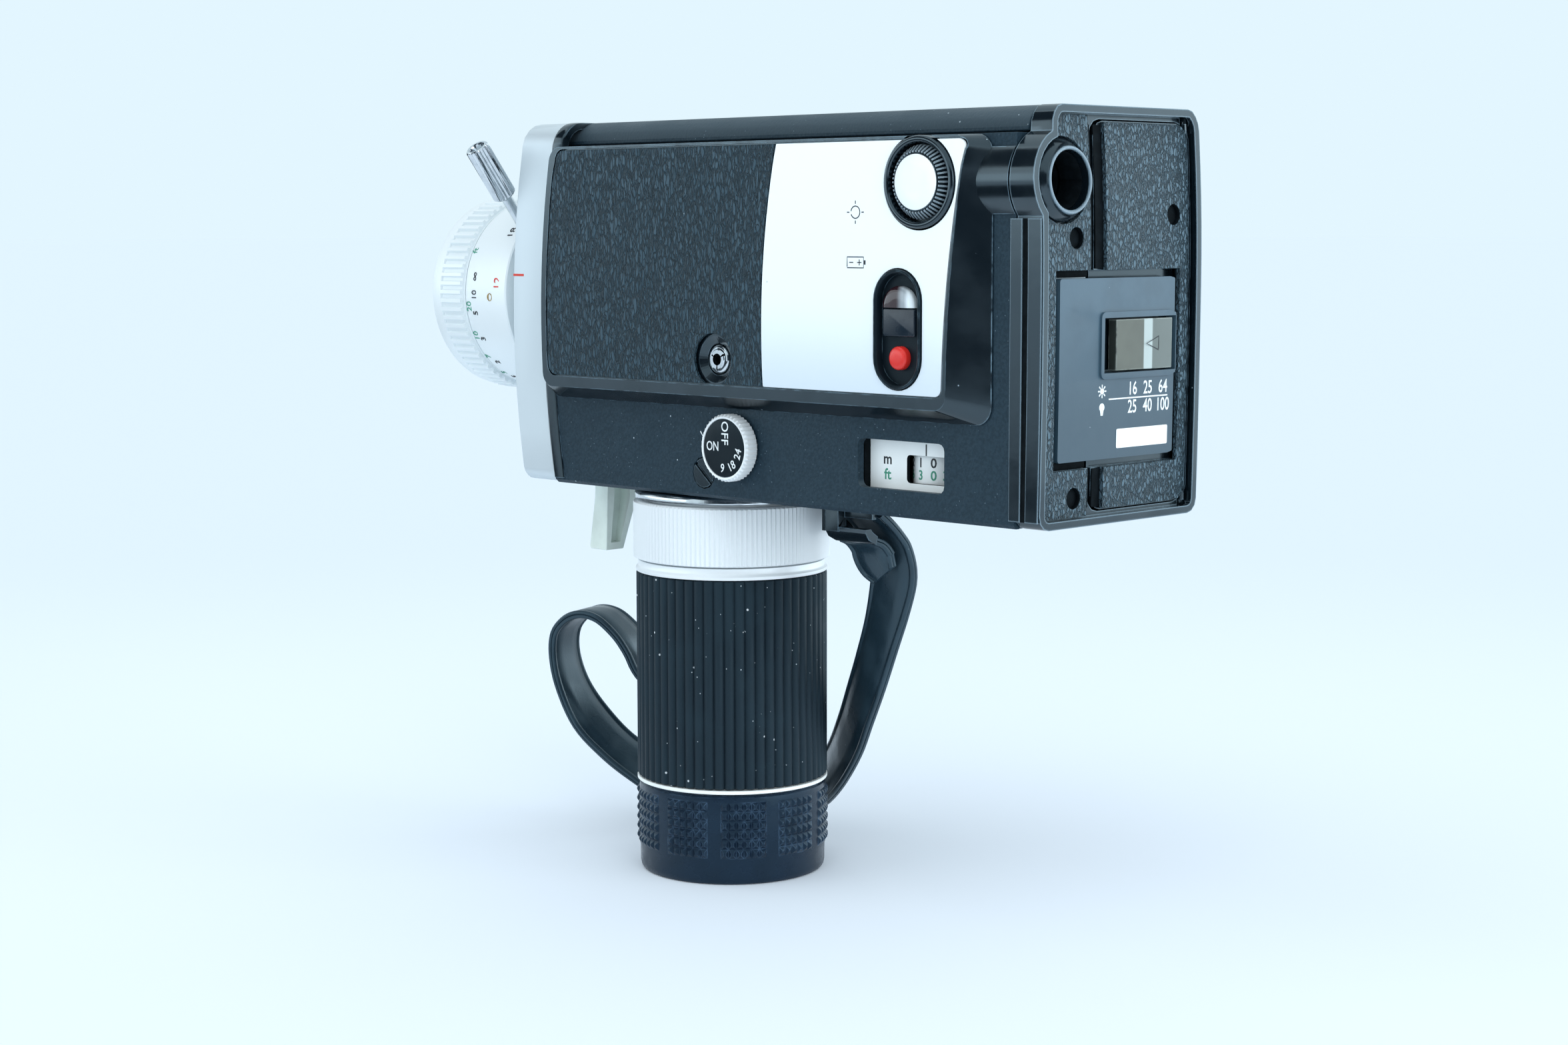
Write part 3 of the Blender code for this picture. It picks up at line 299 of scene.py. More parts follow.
def crinkle():
    """Stoved crinkle paint with dust in it."""
    look = Finish("crinkle", "black_crinkle", (0.0095, 0.022, 0.034), 0.5)
    grain = look.noise(1.7, 3.0)
    look.tint(look.ease(grain, 0.35, 0.65), (0.015, 0.032, 0.048))
    look.rough(look.noise(0.05, 3.0), 0.35, 0.65, 0.46, 0.60)
    look.bump(grain, 0.10)
    look.shine(0.33)
    # Painted highlight: faces that look up are painted paler, standing in for the light from above.
    look.tint(look.painted_top_light(0.05, 0.60), (0.052, 0.076, 0.094))
    look.specks(0.30, 0.05, (0.42, 0.50, 0.56), 0.55)
    look.specks(0.85, 0.08, (0.16, 0.22, 0.27), 0.52)
    return look.made


def gloss():
    """Moulded black plastic, rubbed a little paler along its edges."""
    look = Finish("gloss", "black_gloss", (0.003, 0.006, 0.009), 0.20)
    look.shine(0.9, (0.70, 0.89, 1.0), 1.55)
    smudge = look.noise(0.09, 4.0)
    look.rough(smudge, 0.35, 0.7, 0.14, 0.24)
    look.bump(look.noise(0.25, 2.0), 0.012)
    look.wear(0.30, (0.14, 0.22, 0.28), 0.34, 0.62)
    look.specks(0.22, 0.035, (0.30, 0.38, 0.44), 0.55)
    return look.made


def rim():
    """The rear frame's black gloss, with pale lines painted along its rounded edges as painted highlights."""
    look = Finish("rim", "black_gloss", (0.003, 0.006, 0.009), 0.18)
    look.shine(0.9, (0.70, 0.89, 1.0), 1.55)
    look.rough(look.noise(0.09, 4.0), 0.35, 0.7, 0.12, 0.22)
    look.bump(look.noise(0.25, 2.0), 0.012)
    # Painted highlight: a pale blue tint along the rounded edges stands in for the light they mirror.
    look.tint(look.calc("MULTIPLY", look.edges(0.45), 0.85), (0.24, 0.34, 0.41))
    look.specks(0.22, 0.035, (0.30, 0.38, 0.44), 0.55)
    return look.made


def knurl():
    """Black plastic teeth, their tips painted pale as a painted highlight."""
    look = Finish("knurl", "black_gloss", (0.10, 0.14, 0.17), 0.3)
    look.shine(0.8)
    look.rough(look.noise(0.4, 3.0), 0.3, 0.7, 0.22, 0.38)
    # Painted highlight: the teeth's edges are painted pale, as if lit.
    look.tint(look.edges(0.22), (0.52, 0.62, 0.68))
    return look.made


def satin_black():
    """Black plastic that mirrors little, inside bezels and on the dial."""
    look = Finish("satin_black", "black_gloss", (0.004, 0.008, 0.012), 0.45)
    look.shine(0.25)
    look.rough(look.noise(0.3, 3.0), 0.3, 0.7, 0.38, 0.52)
    look.bump(look.noise(2.5, 2.0), 0.008)
    look.wear(0.25, (0.10, 0.16, 0.20), 0.38, 0.62)
    return look.made


def leather(name, across, along, depth, colour, shine, dull):
    """Grained leatherette: short upright wrinkles, with painted shade darkening the creases between them."""
    look = Finish(name, "leatherette", colour, 0.5)
    stretch = (across, across, along)
    channel = look.ease(look.cells(1.0, stretch, "DISTANCE_TO_EDGE", 0.75), 0.0, 0.16)
    crease = look.noise(0.9, 3.0, stretch, 0.6)
    gap = look.calc("ABSOLUTE", look.calc("SUBTRACT", crease, 0.5))
    fold = look.ease(gap, 0.0, 0.055)
    relief = look.calc("MULTIPLY", channel, look.calc("ADD", fold, 0.6))
    look.shine(0.55)
    # Painted shade: the folds and the cell channels are darkened as if shadowed.
    look.tint(look.ease(fold, 0.75, 0.1), tuple(0.22 * c for c in colour))
    look.tint(look.ease(channel, 0.6, 0.05, 0.0, 0.75), tuple(0.25 * c for c in colour))
    look.rough(crease, 0.35, 0.65, dull, shine)
    look.bump(relief, depth)
    look.bump(look.noise(4.0, 2.0), 0.02)
    look.specks(0.25, 0.03, (0.38, 0.45, 0.50))
    return look.made


def brushed(name, slot, colour, roughness, stretch, metallic=0.85, depth=0.01):
    """Satin metal with fine lines, long on one axis."""
    look = Finish(name, slot, colour, roughness, metallic)
    lines = look.noise(2.5, 3.0, stretch)
    cloud = look.noise(0.04, 3.0)
    look.tint(look.ease(lines, 0.3, 0.7, 0.0, 0.4), tuple(min(1.0, 1.06 * c) for c in colour))
    look.tint(look.ease(cloud, 0.35, 0.75, 0.0, 0.3), tuple(0.94 * c for c in colour))
    look.rough(lines, 0.3, 0.7, roughness - 0.04, roughness + 0.05)
    look.bump(lines, depth)
    return look.made


def panel():
    """Bright anodised panel with hardly visible lines, tinted darker blue towards its lower edge as a painted
    reflection of the darker surroundings below.
    """
    look = Finish("panel", "silver_panel", (0.89, 0.95, 0.97), 0.34, 0.2)
    # Painted reflection: the panel grows blue-grey towards its lower edge.
    look.tint(look.ease(look.axis("Z"), 136.0, 112.0), (0.67, 0.76, 0.84))
    lines = look.noise(2.5, 2.0, LENGTHWISE)
    look.tint(look.ease(lines, 0.3, 0.7, 0.0, 0.10), (0.80, 0.86, 0.90))
    look.rough(lines, 0.3, 0.7, 0.32, 0.38)
    look.bump(lines, 0.001)
    look.specks(0.12, 0.02, (0.45, 0.52, 0.56))
    return look.made


def chrome():
    look = Finish("chrome", "chrome", (0.66, 0.70, 0.73), 0.12, 1.0)
    smudge = look.noise(0.5, 4.0)
    look.rough(smudge, 0.3, 0.7, 0.08, 0.24)
    look.tint(look.ease(smudge, 0.45, 0.75, 0.0, 0.5), (0.46, 0.50, 0.54))
    return look.made


def plastic(name, slot, colour, roughness, mottle=0.85):
    """Moulded plastic with a slight mottle and a fine skin."""
    look = Finish(name, slot, colour, roughness)
    cloud = look.noise(0.12, 4.0)
    look.tint(look.ease(cloud, 0.35, 0.7), tuple(mottle * c for c in colour))
    look.rough(look.noise(0.3, 3.0), 0.3, 0.7, roughness - 0.06, roughness + 0.1)
    look.bump(look.noise(3.0, 2.0), 0.008)
    return look


def ivory():
    look = plastic("ivory", "ivory", (0.80, 0.89, 0.82), 0.42)
    look.wear(0.4, (0.80, 0.88, 0.84))
    look.specks(0.5, 0.05, (0.20, 0.22, 0.20))
    return look.made


def olive():
    """The latch slider: khaki plastic, with a painted highlight along its ridge and painted shade on its side face.
    """
    look = plastic("olive", "olive", (0.108, 0.122, 0.103), 0.40)
    across = look.axis("X")
    look.tint(look.ease(across, RIDGE_X, RIDGE_X - 0.3), (0.122, 0.150, 0.143))
    # Painted highlight: a pale line along the ridge's lit slope.
    line = look.ease(look.calc("ABSOLUTE", look.calc("SUBTRACT", across, RIDGE_X)), 1.35, 0.95)
    look.tint(look.calc("MULTIPLY", line, 0.85), (0.46, 0.55, 0.55))
    # Painted shade: the side face towards +X is darkened.
    look.tint(look.ease(across, -3.05, -2.85), (0.030, 0.036, 0.032))
    look.wear(0.4, (0.34, 0.38, 0.35), 0.35, 0.55)
    return look.made


def slate():
    look = plastic("slate", "slate", (0.060, 0.112, 0.155), 0.36, 0.85)
    # Painted shade: the plate is darkened towards its lower edge.
    look.tint(look.ease(look.axis("Z"), 138.0, 106.0), (0.034, 0.070, 0.100))
    look.specks(0.30, 0.035, (0.35, 0.42, 0.48))
    return look.made


def navy():
    look = plastic("navy", "navy_plastic", (0.005, 0.012, 0.026), 0.28, 0.75)
    look.shine(0.45, (0.50, 0.78, 1.0))
    look.wear(0.35, (0.05, 0.09, 0.15), 0.42, 0.65)
    look.specks(0.2, 0.03, (0.40, 0.46, 0.50))
    return look.made


def rubber():
    """Dull ribbed rubber with pale lint caught on it."""
    look = Finish("rubber", "rubber", (0.007, 0.015, 0.023), 0.72)
    look.shine(0.4)
    cloud = look.noise(0.10, 4.0)
    look.tint(look.ease(cloud, 0.4, 0.7), (0.012, 0.024, 0.034))
    look.rough(cloud, 0.3, 0.7, 0.56, 0.78)
    look.bump(look.noise(3.5, 3.0), 0.04)
    look.specks(0.26, 0.065, (0.62, 0.67, 0.70), 0.52)
    look.specks(0.55, 0.075, (0.40, 0.46, 0.50), 0.55)
    return look.made


def vinyl():
    """Supple strap vinyl with a satin skin and a fine grain."""
    look = Finish("vinyl", "vinyl", (0.012, 0.027, 0.040), 0.38)
    look.shine(0.7)
    grain = look.noise(1.6, 4.0)
    patch = look.noise(0.10, 3.0)
    look.tint(look.ease(patch, 0.4, 0.7), (0.019, 0.040, 0.057))
    look.rough(patch, 0.35, 0.65, 0.27, 0.45)
    look.bump(grain, 0.03)
    look.specks(0.25, 0.03, (0.36, 0.42, 0.47))
    return look.made


def glass():
    look = Finish("glass", "glass", (0.20, 0.26, 0.34), 0.04)
    look.put("Coat Weight", 1.0)
    look.tint(look.ease(look.noise(0.08, 1.0), 0.35, 0.65), (0.12, 0.14, 0.26))
    look.rough(look.noise(0.6, 3.0), 0.4, 0.7, 0.03, 0.08)
    return look.made


def smoke():
    """The check window under a clear arch: a dark red end, and a grey-to-pale end that is a painted reflection."""
    look = Finish("smoke", "smoke", (0.022, 0.006, 0.009), 0.08)
    look.put("Coat Weight", 0.3)
    look.put("Coat Roughness", 0.03)
    across = look.axis("Y")
    # Painted reflection: towards +Y the window turns grey and then pale, standing in for light mirrored in the arch.
    look.tint(look.ease(across, CHECK[0] - 0.2, CHECK[0] + 1.6), (0.30, 0.34, 0.37))
    look.tint(look.ease(across, CHECK[0] + 1.8, CHECK[0] + 3.2), (0.72, 0.80, 0.84))
    look.rough(look.noise(0.8, 2.0), 0.3, 0.7, 0.05, 0.14)
    return look.made


def ink(name, slot, colour, roughness=0.5):
    """Printed or filled marks, slightly uneven."""
    look = Finish(name, slot, colour, roughness)
    look.tint(look.ease(look.noise(1.5, 3.0), 0.45, 0.75), tuple(0.8 * c + 0.02 for c in colour))
    look.rough(look.noise(2.0, 2.0), 0.3, 0.7, roughness - 0.08, roughness + 0.1)
    return look.made


def hollow():
    """Near-black for the blackened insides of housings and sockets, and painted shade in screw holes, gaps, grooves
    and the eyepiece bore.
    """
    look = Finish("hollow", "inner_black", (0.002, 0.003, 0.004), 0.7)
    look.shine(0.1)
    look.tint(look.ease(look.noise(0.5, 3.0), 0.4, 0.7), (0.004, 0.006, 0.008))
    look.bump(look.noise(2.5, 2.0), 0.03)
    return look.made


def cell_wrap():
    look = plastic("cell_wrap", "cell_wrap", (0.10, 0.13, 0.18), 0.35)
    band = look.ease(look.axis("Z"), 50.0, 50.4)
    look.tint(band, (0.50, 0.42, 0.22))
    return look.made


LOOKS = {
    "crinkle": crinkle(),
    "gloss": gloss(),
    "rim": rim(),
    "knurl": knurl(),
    "side_leather": leather("side_leather", 1.05, 0.34, 0.34, (0.026, 0.056, 0.080), 0.38, 0.55),
    # Painted light: the rear leatherette is the side one's material given a paler colour, for the extra light and
    # sheen the rear catches.
    "rear_leather": leather("rear_leather", 1.15, 0.50, 0.42, (0.066, 0.114, 0.150), 0.34, 0.50),
    "plate": brushed("plate", "satin_aluminium", (0.61, 0.68, 0.72), 0.42, UPRIGHT, 0.3, 0.004),
    "lens_silver": brushed("lens_silver", "satin_aluminium", (0.83, 0.885, 0.905), 0.48, ROUND_Y, 0.15, 0.004),
    "grip_silver": brushed("grip_silver", "satin_aluminium", (0.84, 0.88, 0.90), 0.42, ROUND_Z, 0.25, 0.004),
    "satin_black": satin_black(),
    "panel": panel(),
    "chrome": chrome(),
    "ivory": ivory(),
    "red": plastic("red", "red", (0.80, 0.030, 0.022), 0.26).made,
    "olive": olive(),
    "slate": slate(),
    "dark_slate": plastic("dark_slate", "slate", (0.010, 0.019, 0.030), 0.24).made,
    # Painted highlight: the eyepiece lip is painted pale blue-grey for the light along its rounded edge.
    "lip_highlight": plastic("lip_highlight", "black_gloss", (0.22, 0.30, 0.36), 0.30).made,
    "rubber": rubber(),
    "navy": navy(),
    "vinyl": vinyl(),
    "white": plastic("white", "white", (0.92, 0.97, 0.97), 0.40, 0.95).made,
    "glass": glass(),
    "smoke": smoke(),
    "brass": brushed("brass", "brass", (0.62, 0.45, 0.20), 0.32, ROUND_Y, 1.0),
    "steel": brushed("steel", "steel", (0.48, 0.50, 0.52), 0.34, UPRIGHT, 1.0),
    "hollow": hollow(),
    "cell_wrap": cell_wrap(),
    "black_ink": ink("black_ink", "black_gloss", (0.015, 0.020, 0.026)),
    "white_ink": ink("white_ink", "white", (0.78, 0.84, 0.86)),
    "red_ink": ink("red_ink", "red", (0.72, 0.05, 0.03)),
    "green_ink": ink("green_ink", "olive", (0.06, 0.33, 0.22)),
}

NODE_LOOKS = {
    "black_crinkle": "crinkle", "black_gloss": "gloss", "leatherette": "side_leather",
    "satin_aluminium": "plate", "silver_panel": "panel", "navy_plastic": "navy", "inner_black": "hollow",
}


# Mesh helpers


def arc(cx, cy, radius, start, end, steps):
    points = []
    for i in range(steps + 1):
        angle = math.radians(start + (end - start) * i / steps)
        points.append((cx + radius * math.cos(angle), cy + radius * math.sin(angle)))
    return points


def rounded_box(low, high, radius, steps=4):
    (x0, y0), (x1, y1) = low, high
    outline = arc(x1 - radius, y1 - radius, radius, 0, 90, steps)
    outline += arc(x0 + radius, y1 - radius, radius, 90, 180, steps)
    outline += arc(x0 + radius, y0 + radius, radius, 180, 270, steps)
    outline += arc(x1 - radius, y0 + radius, radius, 270, 360, steps)
    return outline


def levels(low, high, count):
    return [low + (high - low) * i / count for i in range(count + 1)]


def at(axis, u, v, h):
    """Turns plane coordinates u, v and a height h along an axis into x, y, z."""
    return {"X": (h, u, v), "Y": (u, h, v), "Z": (u, v, h)}[axis]


def loft_into(bm, rings, closed=False):
    """Adds a skin through rings of equal length, capped at both ends or running round on itself."""
    made = [[bm.verts.new(point) for point in ring] for ring in rings]
    pairs = list(zip(made, made[1:]))
    if closed:
        pairs.append((made[-1], made[0]))
    else:
        bm.faces.new(made[0])
        bm.faces.new(made[-1])
    count = len(made[0])
    for ring_a, ring_b in pairs:
        for j in range(count):
            k = (j + 1) % count
            bm.faces.new((ring_a[j], ring_a[k], ring_b[k], ring_b[j]))
    return bm


def loft(rings, closed=False):
    return loft_into(bmesh.new(), rings, closed)


def prism(outline, axis, low, high):
    return loft([[at(axis, u, v, h) for u, v in outline] for h in (low, high)])


def slab(outline, axis, low, high, edge):
    """A flat plate with its upper edge rounded over."""
    cu = sum(u for u, _ in outline) / len(outline)
    cv = sum(v for _, v in outline) / len(outline)
    reach = max(math.hypot(u - cu, v - cv) for u, v in outline)
    rings = [[at(axis, u, v, low) for u, v in outline]]
    for angle in (0, 30, 60, 90):
        inset = edge * (1.0 - math.cos(math.radians(angle)))
        height = high - edge + edge * math.sin(math.radians(angle))
        scale = 1.0 - inset / reach
        rings.append([at(axis, cu + (u - cu) * scale, cv + (v - cv) * scale, height) for u, v in outline])
    return loft(rings)


def ring(axis, centre, radius, height, count):
    """A ring round an axis; radius is one number, or one for each point."""
    radii = radius if isinstance(radius, list) else [radius] * count
    points = []
    for j, r in enumerate(radii):
        angle = 2.0 * math.pi * j / count
        points.append(at(axis, centre[0] + r * math.cos(angle), centre[1] + r * math.sin(angle), height))
    return points


def turned(axis, centre, path, count=96, closed=True):
    """A turned piece: path is a list of (radius, height)."""
    return loft([ring(axis, centre, radius, height, count) for radius, height in path], closed)


def flutes(radius, depth, teeth, shape=(0.0, 0.0, 1.0, 1.0)):
    """Radii of a fluted ring; shape gives how deep each point of one tooth lies."""
    return [radius - depth * share for _ in range(teeth) for share in shape]


ROUND_RIB = (0.0, 0.06, 0.35, 1.0, 0.35, 0.06)
SHARP_RIB = (0.0, 0.5, 1.0, 0.5)
BAR = (0.0, 0.0, 0.0, 0.0, 1.0, 1.0, 1.0, 1.0)


def piece(name, bm, look, body, replaces=(), smooth=38.0):
    """Makes a named piece from a mesh in millimetres and lets it ride on a body."""
    bmesh.ops.recalc_face_normals(bm, faces=bm.faces)
    for vert in bm.verts:
        vert.co *= MM
    mesh = bpy.data.meshes.new(name)
    bm.to_mesh(mesh)
    bm.free()
    return settle(name, mesh, look, body, replaces, smooth)


def settle(name, mesh, look, body, replaces, smooth):
    """Shades a mesh, gives it its look and its body, and hides what it stands for."""
    material = LOOKS[look]
    mesh.materials.clear()
    mesh.materials.append(material)
    mesh.shade_smooth()
    mesh.set_sharp_from_angle(angle=math.radians(smooth))
    made = bpy.data.objects.new(name, mesh)
    bpy.context.scene.collection.objects.link(made)
    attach(made, body)
    if replaces:
        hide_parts(*replaces)
    return made


def dressed(node, look, round_over, smooth=38.0, segments=3):
    """A copy of a node with clean faces and rounded edges, in the node's place."""
    source = nodes[node]
    bm = bmesh.new()
    bm.from_mesh(source.data)
    bmesh.ops.remove_doubles(bm, verts=bm.verts, dist=2e-6)
    bmesh.ops.dissolve_limit(bm, angle_limit=math.radians(1.0), verts=bm.verts, edges=bm.edges)
    mesh = bpy.data.meshes.new(node + "_skin")
    bm.to_mesh(mesh)
    bm.free()
    made = settle(node + "_skin", mesh, look, source["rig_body"], (node,), smooth)
    return rounded(made, round_over, segments)


def rounded(made, width, segments=3):
    """Rounds a piece's sharp edges."""
    modifier = made.modifiers.new("round_over", "BEVEL")
    modifier.width = width * MM
    modifier.segments = segments
    modifier.limit_method = "ANGLE"
    modifier.angle_limit = math.radians(33.0)
    modifier.harden_normals = True
    return made


def fall_back(made, start=REAR_SEAM):
    """Bends a rear piece behind start along the bowed back, which falls away above and below its middle."""
    bm = bmesh.new()
    bm.from_mesh(made.data)
    low, high = min(v.co.z for v in bm.verts), max(v.co.z for v in bm.verts)
    for z in levels(low, high, 1 + int((high - low) / (6.0 * MM)))[1:-1]:
        everything = bm.verts[:] + bm.edges[:] + bm.faces[:]
        bmesh.ops.bisect_plane(bm, geom=everything, plane_co=(0.0, 0.0, z), plane_no=(0.0, 0.0, 1.0))
    for vert in bm.verts:
        share = (vert.co.y / MM - start) / (REAR_FLAT - start)
        rise = vert.co.z / MM - SAG_Z
        sag = rise ** 2 / (2.0 * (SAG_RADIUS_HIGH if rise > 0.0 else SAG_RADIUS_LOW))
        vert.co.y -= max(0.0, min(1.0, share)) * sag * MM
    bm.to_mesh(made.data)
    bm.free()


def drill(target, bm):
    """Cuts a shape out of a piece for good."""
    helper = bpy.data.objects.new("drill_bit", bpy.data.meshes.new("drill_bit"))
    bmesh.ops.recalc_face_normals(bm, faces=bm.faces)
    for vert in bm.verts:
        vert.co *= MM
    bm.to_mesh(helper.data)
    bm.free()
    bpy.context.scene.collection.objects.link(helper)
    modifier = target.modifiers.new("drill", "BOOLEAN")
    modifier.operation = "DIFFERENCE"
    modifier.solver = "EXACT"
    modifier.object = helper
    for other in target.modifiers:
        other.show_viewport = other == modifier
    depsgraph = bpy.context.evaluated_depsgraph_get()
    mesh = bpy.data.meshes.new_from_object(target.evaluated_get(depsgraph))
    target.modifiers.remove(modifier)
    for other in target.modifiers:
        other.show_viewport = True
    target.data = mesh
    bpy.data.objects.remove(helper, do_unlink=True)


def plane_map(origin, right, up):
    """Places flat marks on a plane; right and up are its directions as seen from outside."""
    origin, right, up = Vector(origin), Vector(right), Vector(up)
    normal = right.cross(up)
    return lambda u, v, w: origin + right * u + up * v + normal * w


def left_side(y, z, x, turn=0.0):
    """Places marks on the left side, turned by some degrees."""
    c, s = math.cos(math.radians(turn)), math.sin(math.radians(turn))
    return plane_map((x, y, z), (0.0, c, s), (0.0, -s, c))


def rear_side(x, z, y):
    return plane_map((x, y, z), (-1.0, 0.0, 0.0), (0.0, 0.0, 1.0))


def lens_map(angle, y, radius):
    """Wraps marks round the lens, their tops towards the front."""
    def wrap(u, v, w):
        turn = math.radians(angle) + u / radius
        reach = radius + w
        return Vector((LENS[0] + reach * math.cos(turn), y - v, LENS[1] + reach * math.sin(turn)))
    return wrap


def drum_map(angle, z, radius):
    """Wraps marks round the counter drum."""
    def wrap(u, v, w):
        turn = math.radians(angle) + u / radius
        reach = radius + w
        return Vector((DRUM[0] + reach * math.cos(turn), DRUM[1] + reach * math.sin(turn), z + v))
    return wrap


def lettering(name, text, size, place, look, body, thick=0.05, squeeze=1.0, bold=0.0):
    """Raised figures or a word, laid on a surface by a placing function."""
    curve = bpy.data.curves.new(name, "FONT")
    curve.body = text
    curve.size = size
    curve.align_x = "CENTER"
    curve.align_y = "CENTER"
    curve.extrude = thick
    curve.offset = bold
    curve.resolution_u = 3
    helper = bpy.data.objects.new(name + "_font", curve)
    bpy.context.scene.collection.objects.link(helper)
    depsgraph = bpy.context.evaluated_depsgraph_get()
    mesh = bpy.data.meshes.new_from_object(helper.evaluated_get(depsgraph))
    bpy.data.objects.remove(helper, do_unlink=True)
    bm = bmesh.new()
    bm.from_mesh(mesh)
    bpy.data.meshes.remove(mesh)
    bmesh.ops.remove_doubles(bm, verts=bm.verts, dist=1e-5)
    for vert in bm.verts:
        vert.co = place(squeeze * vert.co.x, vert.co.y, vert.co.z)
    return piece(name, bm, look, body, smooth=30.0)


def flat_mark(name, outlines, place, look, body, thick=0.05):
    """Printed signs from outlines in the plane of the mark."""
    bm = bmesh.new()
    for outline in outlines:
        loft_into(bm, [[place(u, v, w) for u, v in outline] for w in (-thick, thick)])
    return piece(name, bm, look, body, smooth=30.0)


def stroke(points, width):
    """An open line of some width as one outline."""
    left, right = [], []
    last = len(points) - 1
    for i, (u, v) in enumerate(points):
        u0, v0 = points[max(i - 1, 0)]
        u1, v1 = points[min(i + 1, last)]
        length = math.hypot(u1 - u0, v1 - v0)
        nu, nv = -(v1 - v0) / length * width / 2.0, (u1 - u0) / length * width / 2.0
        left.append((u + nu, v + nv))
        right.append((u - nu, v - nv))
    return left + right[::-1]


# Camera and studio


def make_camera():
    data = bpy.data.cameras.new("photo_view")
    data.sensor_fit = "HORIZONTAL"
    data.sensor_width = 36.0
    data.lens = CAMERA_LENS
    data.clip_start = 0.01
    data.clip_end = 60.0
    turn, tip = math.radians(CAMERA_AZIMUTH), math.radians(CAMERA_PITCH)
    look = Vector((-math.sin(turn) * math.cos(tip), math.cos(turn) * math.cos(tip), -math.sin(tip)))
    facing = look.to_track_quat("-Z", "Y").to_matrix() @ Matrix.Rotation(math.radians(CAMERA_ROLL), 3, "Z")
    made = bpy.data.objects.new("photo_view", data)
    made.location = Vector(CAMERA_PLACE) * MM
    made.rotation_euler = facing.to_euler()
    bpy.context.scene.collection.objects.link(made)
    bpy.context.scene.camera = made


def make_sky():
    """An even pale sky that is a little brighter to look at than it is as a light."""
    world = bpy.data.worlds.new("pale_studio")
    bpy.context.scene.world = world
    world.use_nodes = True
    tree = world.node_tree
    seen = tree.nodes["Background"]
    seen.inputs["Color"].default_value = (*BACKGROUND, 1.0)
    light = tree.nodes.new("ShaderNodeBackground")
    light.inputs["Color"].default_value = (*SKY_LIGHT, 1.0)
    rays = tree.nodes.new("ShaderNodeLightPath")
    factor = rays.outputs["Is Camera Ray"]
    for name in ("Is Glossy Ray", "Is Transmission Ray"):
        either = tree.nodes.new("ShaderNodeMath")
        either.operation = "MAXIMUM"
        tree.links.new(factor, either.inputs[0])
        tree.links.new(rays.outputs[name], either.inputs[1])
        factor = either.outputs["Value"]
    mix = tree.nodes.new("ShaderNodeMixShader")
    tree.links.new(factor, mix.inputs["Fac"])
    tree.links.new(light.outputs["Background"], mix.inputs[1])
    tree.links.new(seen.outputs["Background"], mix.inputs[2])
    tree.links.new(mix.outputs["Shader"], tree.nodes["World Output"].inputs["Surface"])


def make_sun(name, towards, strength, spread, mirrored=True):
    data = bpy.data.lights.new(name, "SUN")
    data.energy = strength
    data.angle = math.radians(spread)
    data.color = (0.94, 0.98, 1.0)
    made = bpy.data.objects.new(name, data)
    made.rotation_euler = Vector(towards).to_track_quat("Z", "Y").to_euler()
    made.visible_glossy = mirrored
    bpy.context.scene.collection.objects.link(made)


def make_soft_light(name, place, aim, watts, size):
    """A square soft light that lights surfaces but isn't mirrored."""
    data = bpy.data.lights.new(name, "AREA")
    data.energy = watts
    data.size = size
    data.color = (0.94, 0.98, 1.0)
    made = bpy.data.objects.new(name, data)
    made.location = place
    made.rotation_euler = (Vector(place) - Vector(aim)).to_track_quat("Z", "Y").to_euler()
    made.visible_glossy = False
    made.visible_camera = False
    bpy.context.scene.collection.objects.link(made)


def make_floor():
    size = 20.0
    mesh = bpy.data.meshes.new("floor")
    corners = [(-size, -size, 0.0), (size, -size, 0.0), (size, size, 0.0), (-size, size, 0.0)]
    mesh.from_pydata(corners, [], [(0, 1, 2, 3)])
    look = Finish("floor", "white", FLOOR_COLOUR, 0.9)
    look.put("Specular IOR Level", 0.0)
    coords = look.add("TexCoord")
    reach = look.add("VectorMath", operation="DISTANCE")
    look.feed(reach, 0, coords.outputs["Object"])
    look.feed(reach, 1, FLOOR_MIDDLE)
    look.tint(look.ease(reach.outputs["Value"], 0.35, 1.0), FLOOR_FAR)
    look.put("Emission Color", (*FLOOR_COLOUR, 1.0))
    look.put("Emission Strength", FLOOR_GLOW)
    mesh.materials.append(look.made)
    made = bpy.data.objects.new("floor", mesh)
    bpy.context.scene.collection.objects.link(made)


def make_card(name, middle, across, upward, glow, shades=False):
    """A card that only mirroring surfaces see: dark, or shining by itself."""
    corners = []
    for u, v in ((-1, -1), (1, -1), (1, 1), (-1, 1)):
        corners.append(Vector(middle) + Vector(across) * u + Vector(upward) * v)
    mesh = bpy.data.meshes.new(name)
    mesh.from_pydata(corners, [], [(0, 1, 2, 3)])
    look = Finish(name, "inner_black", (0.03, 0.04, 0.05), 0.9)
    look.put("Specular IOR Level", 0.0)
    look.put("Emission Color", (0.80, 0.93, 1.0, 1.0))
    look.put("Emission Strength", glow)
    mesh.materials.append(look.made)
    made = bpy.data.objects.new(name, mesh)
    bpy.context.scene.collection.objects.link(made)
    made.visible_camera = False
    made.visible_diffuse = False
    made.visible_shadow = shades


def make_cards():
    """What the glossy blacks mirror: dark behind the camera, and a bright strip between dark cards to the left."""
    leftward = (0.40, 0.44, 0.0)
    make_card("dark_card", (0.67, 0.67, 0.20), (-0.40, 0.40, 0.0), (0.0, 0.0, 0.35), 0.0, shades=True)
    make_card("left_card", (0.66, -0.60, 0.25), leftward, (0.0, 0.0, 0.10), 2.2)
    make_card("left_high_card", (0.66, -0.60, 0.95), leftward, (0.0, 0.0, 0.40), 0.0)
    make_card("left_low_card", (0.48, -0.43, 0.004), leftward, (0.30, -0.27, 0.0), 0.0)
    make_card("right_card", (-0.66, 0.62, 0.30), (0.25, 0.26, 0.0), (0.0, 0.0, 0.35), 1.8)
    make_card("far_right_card", (-0.88, 0.24, 0.15), (0.05, 0.24, 0.0), (0.0, 0.0, 0.30), 3.0)


# Strap

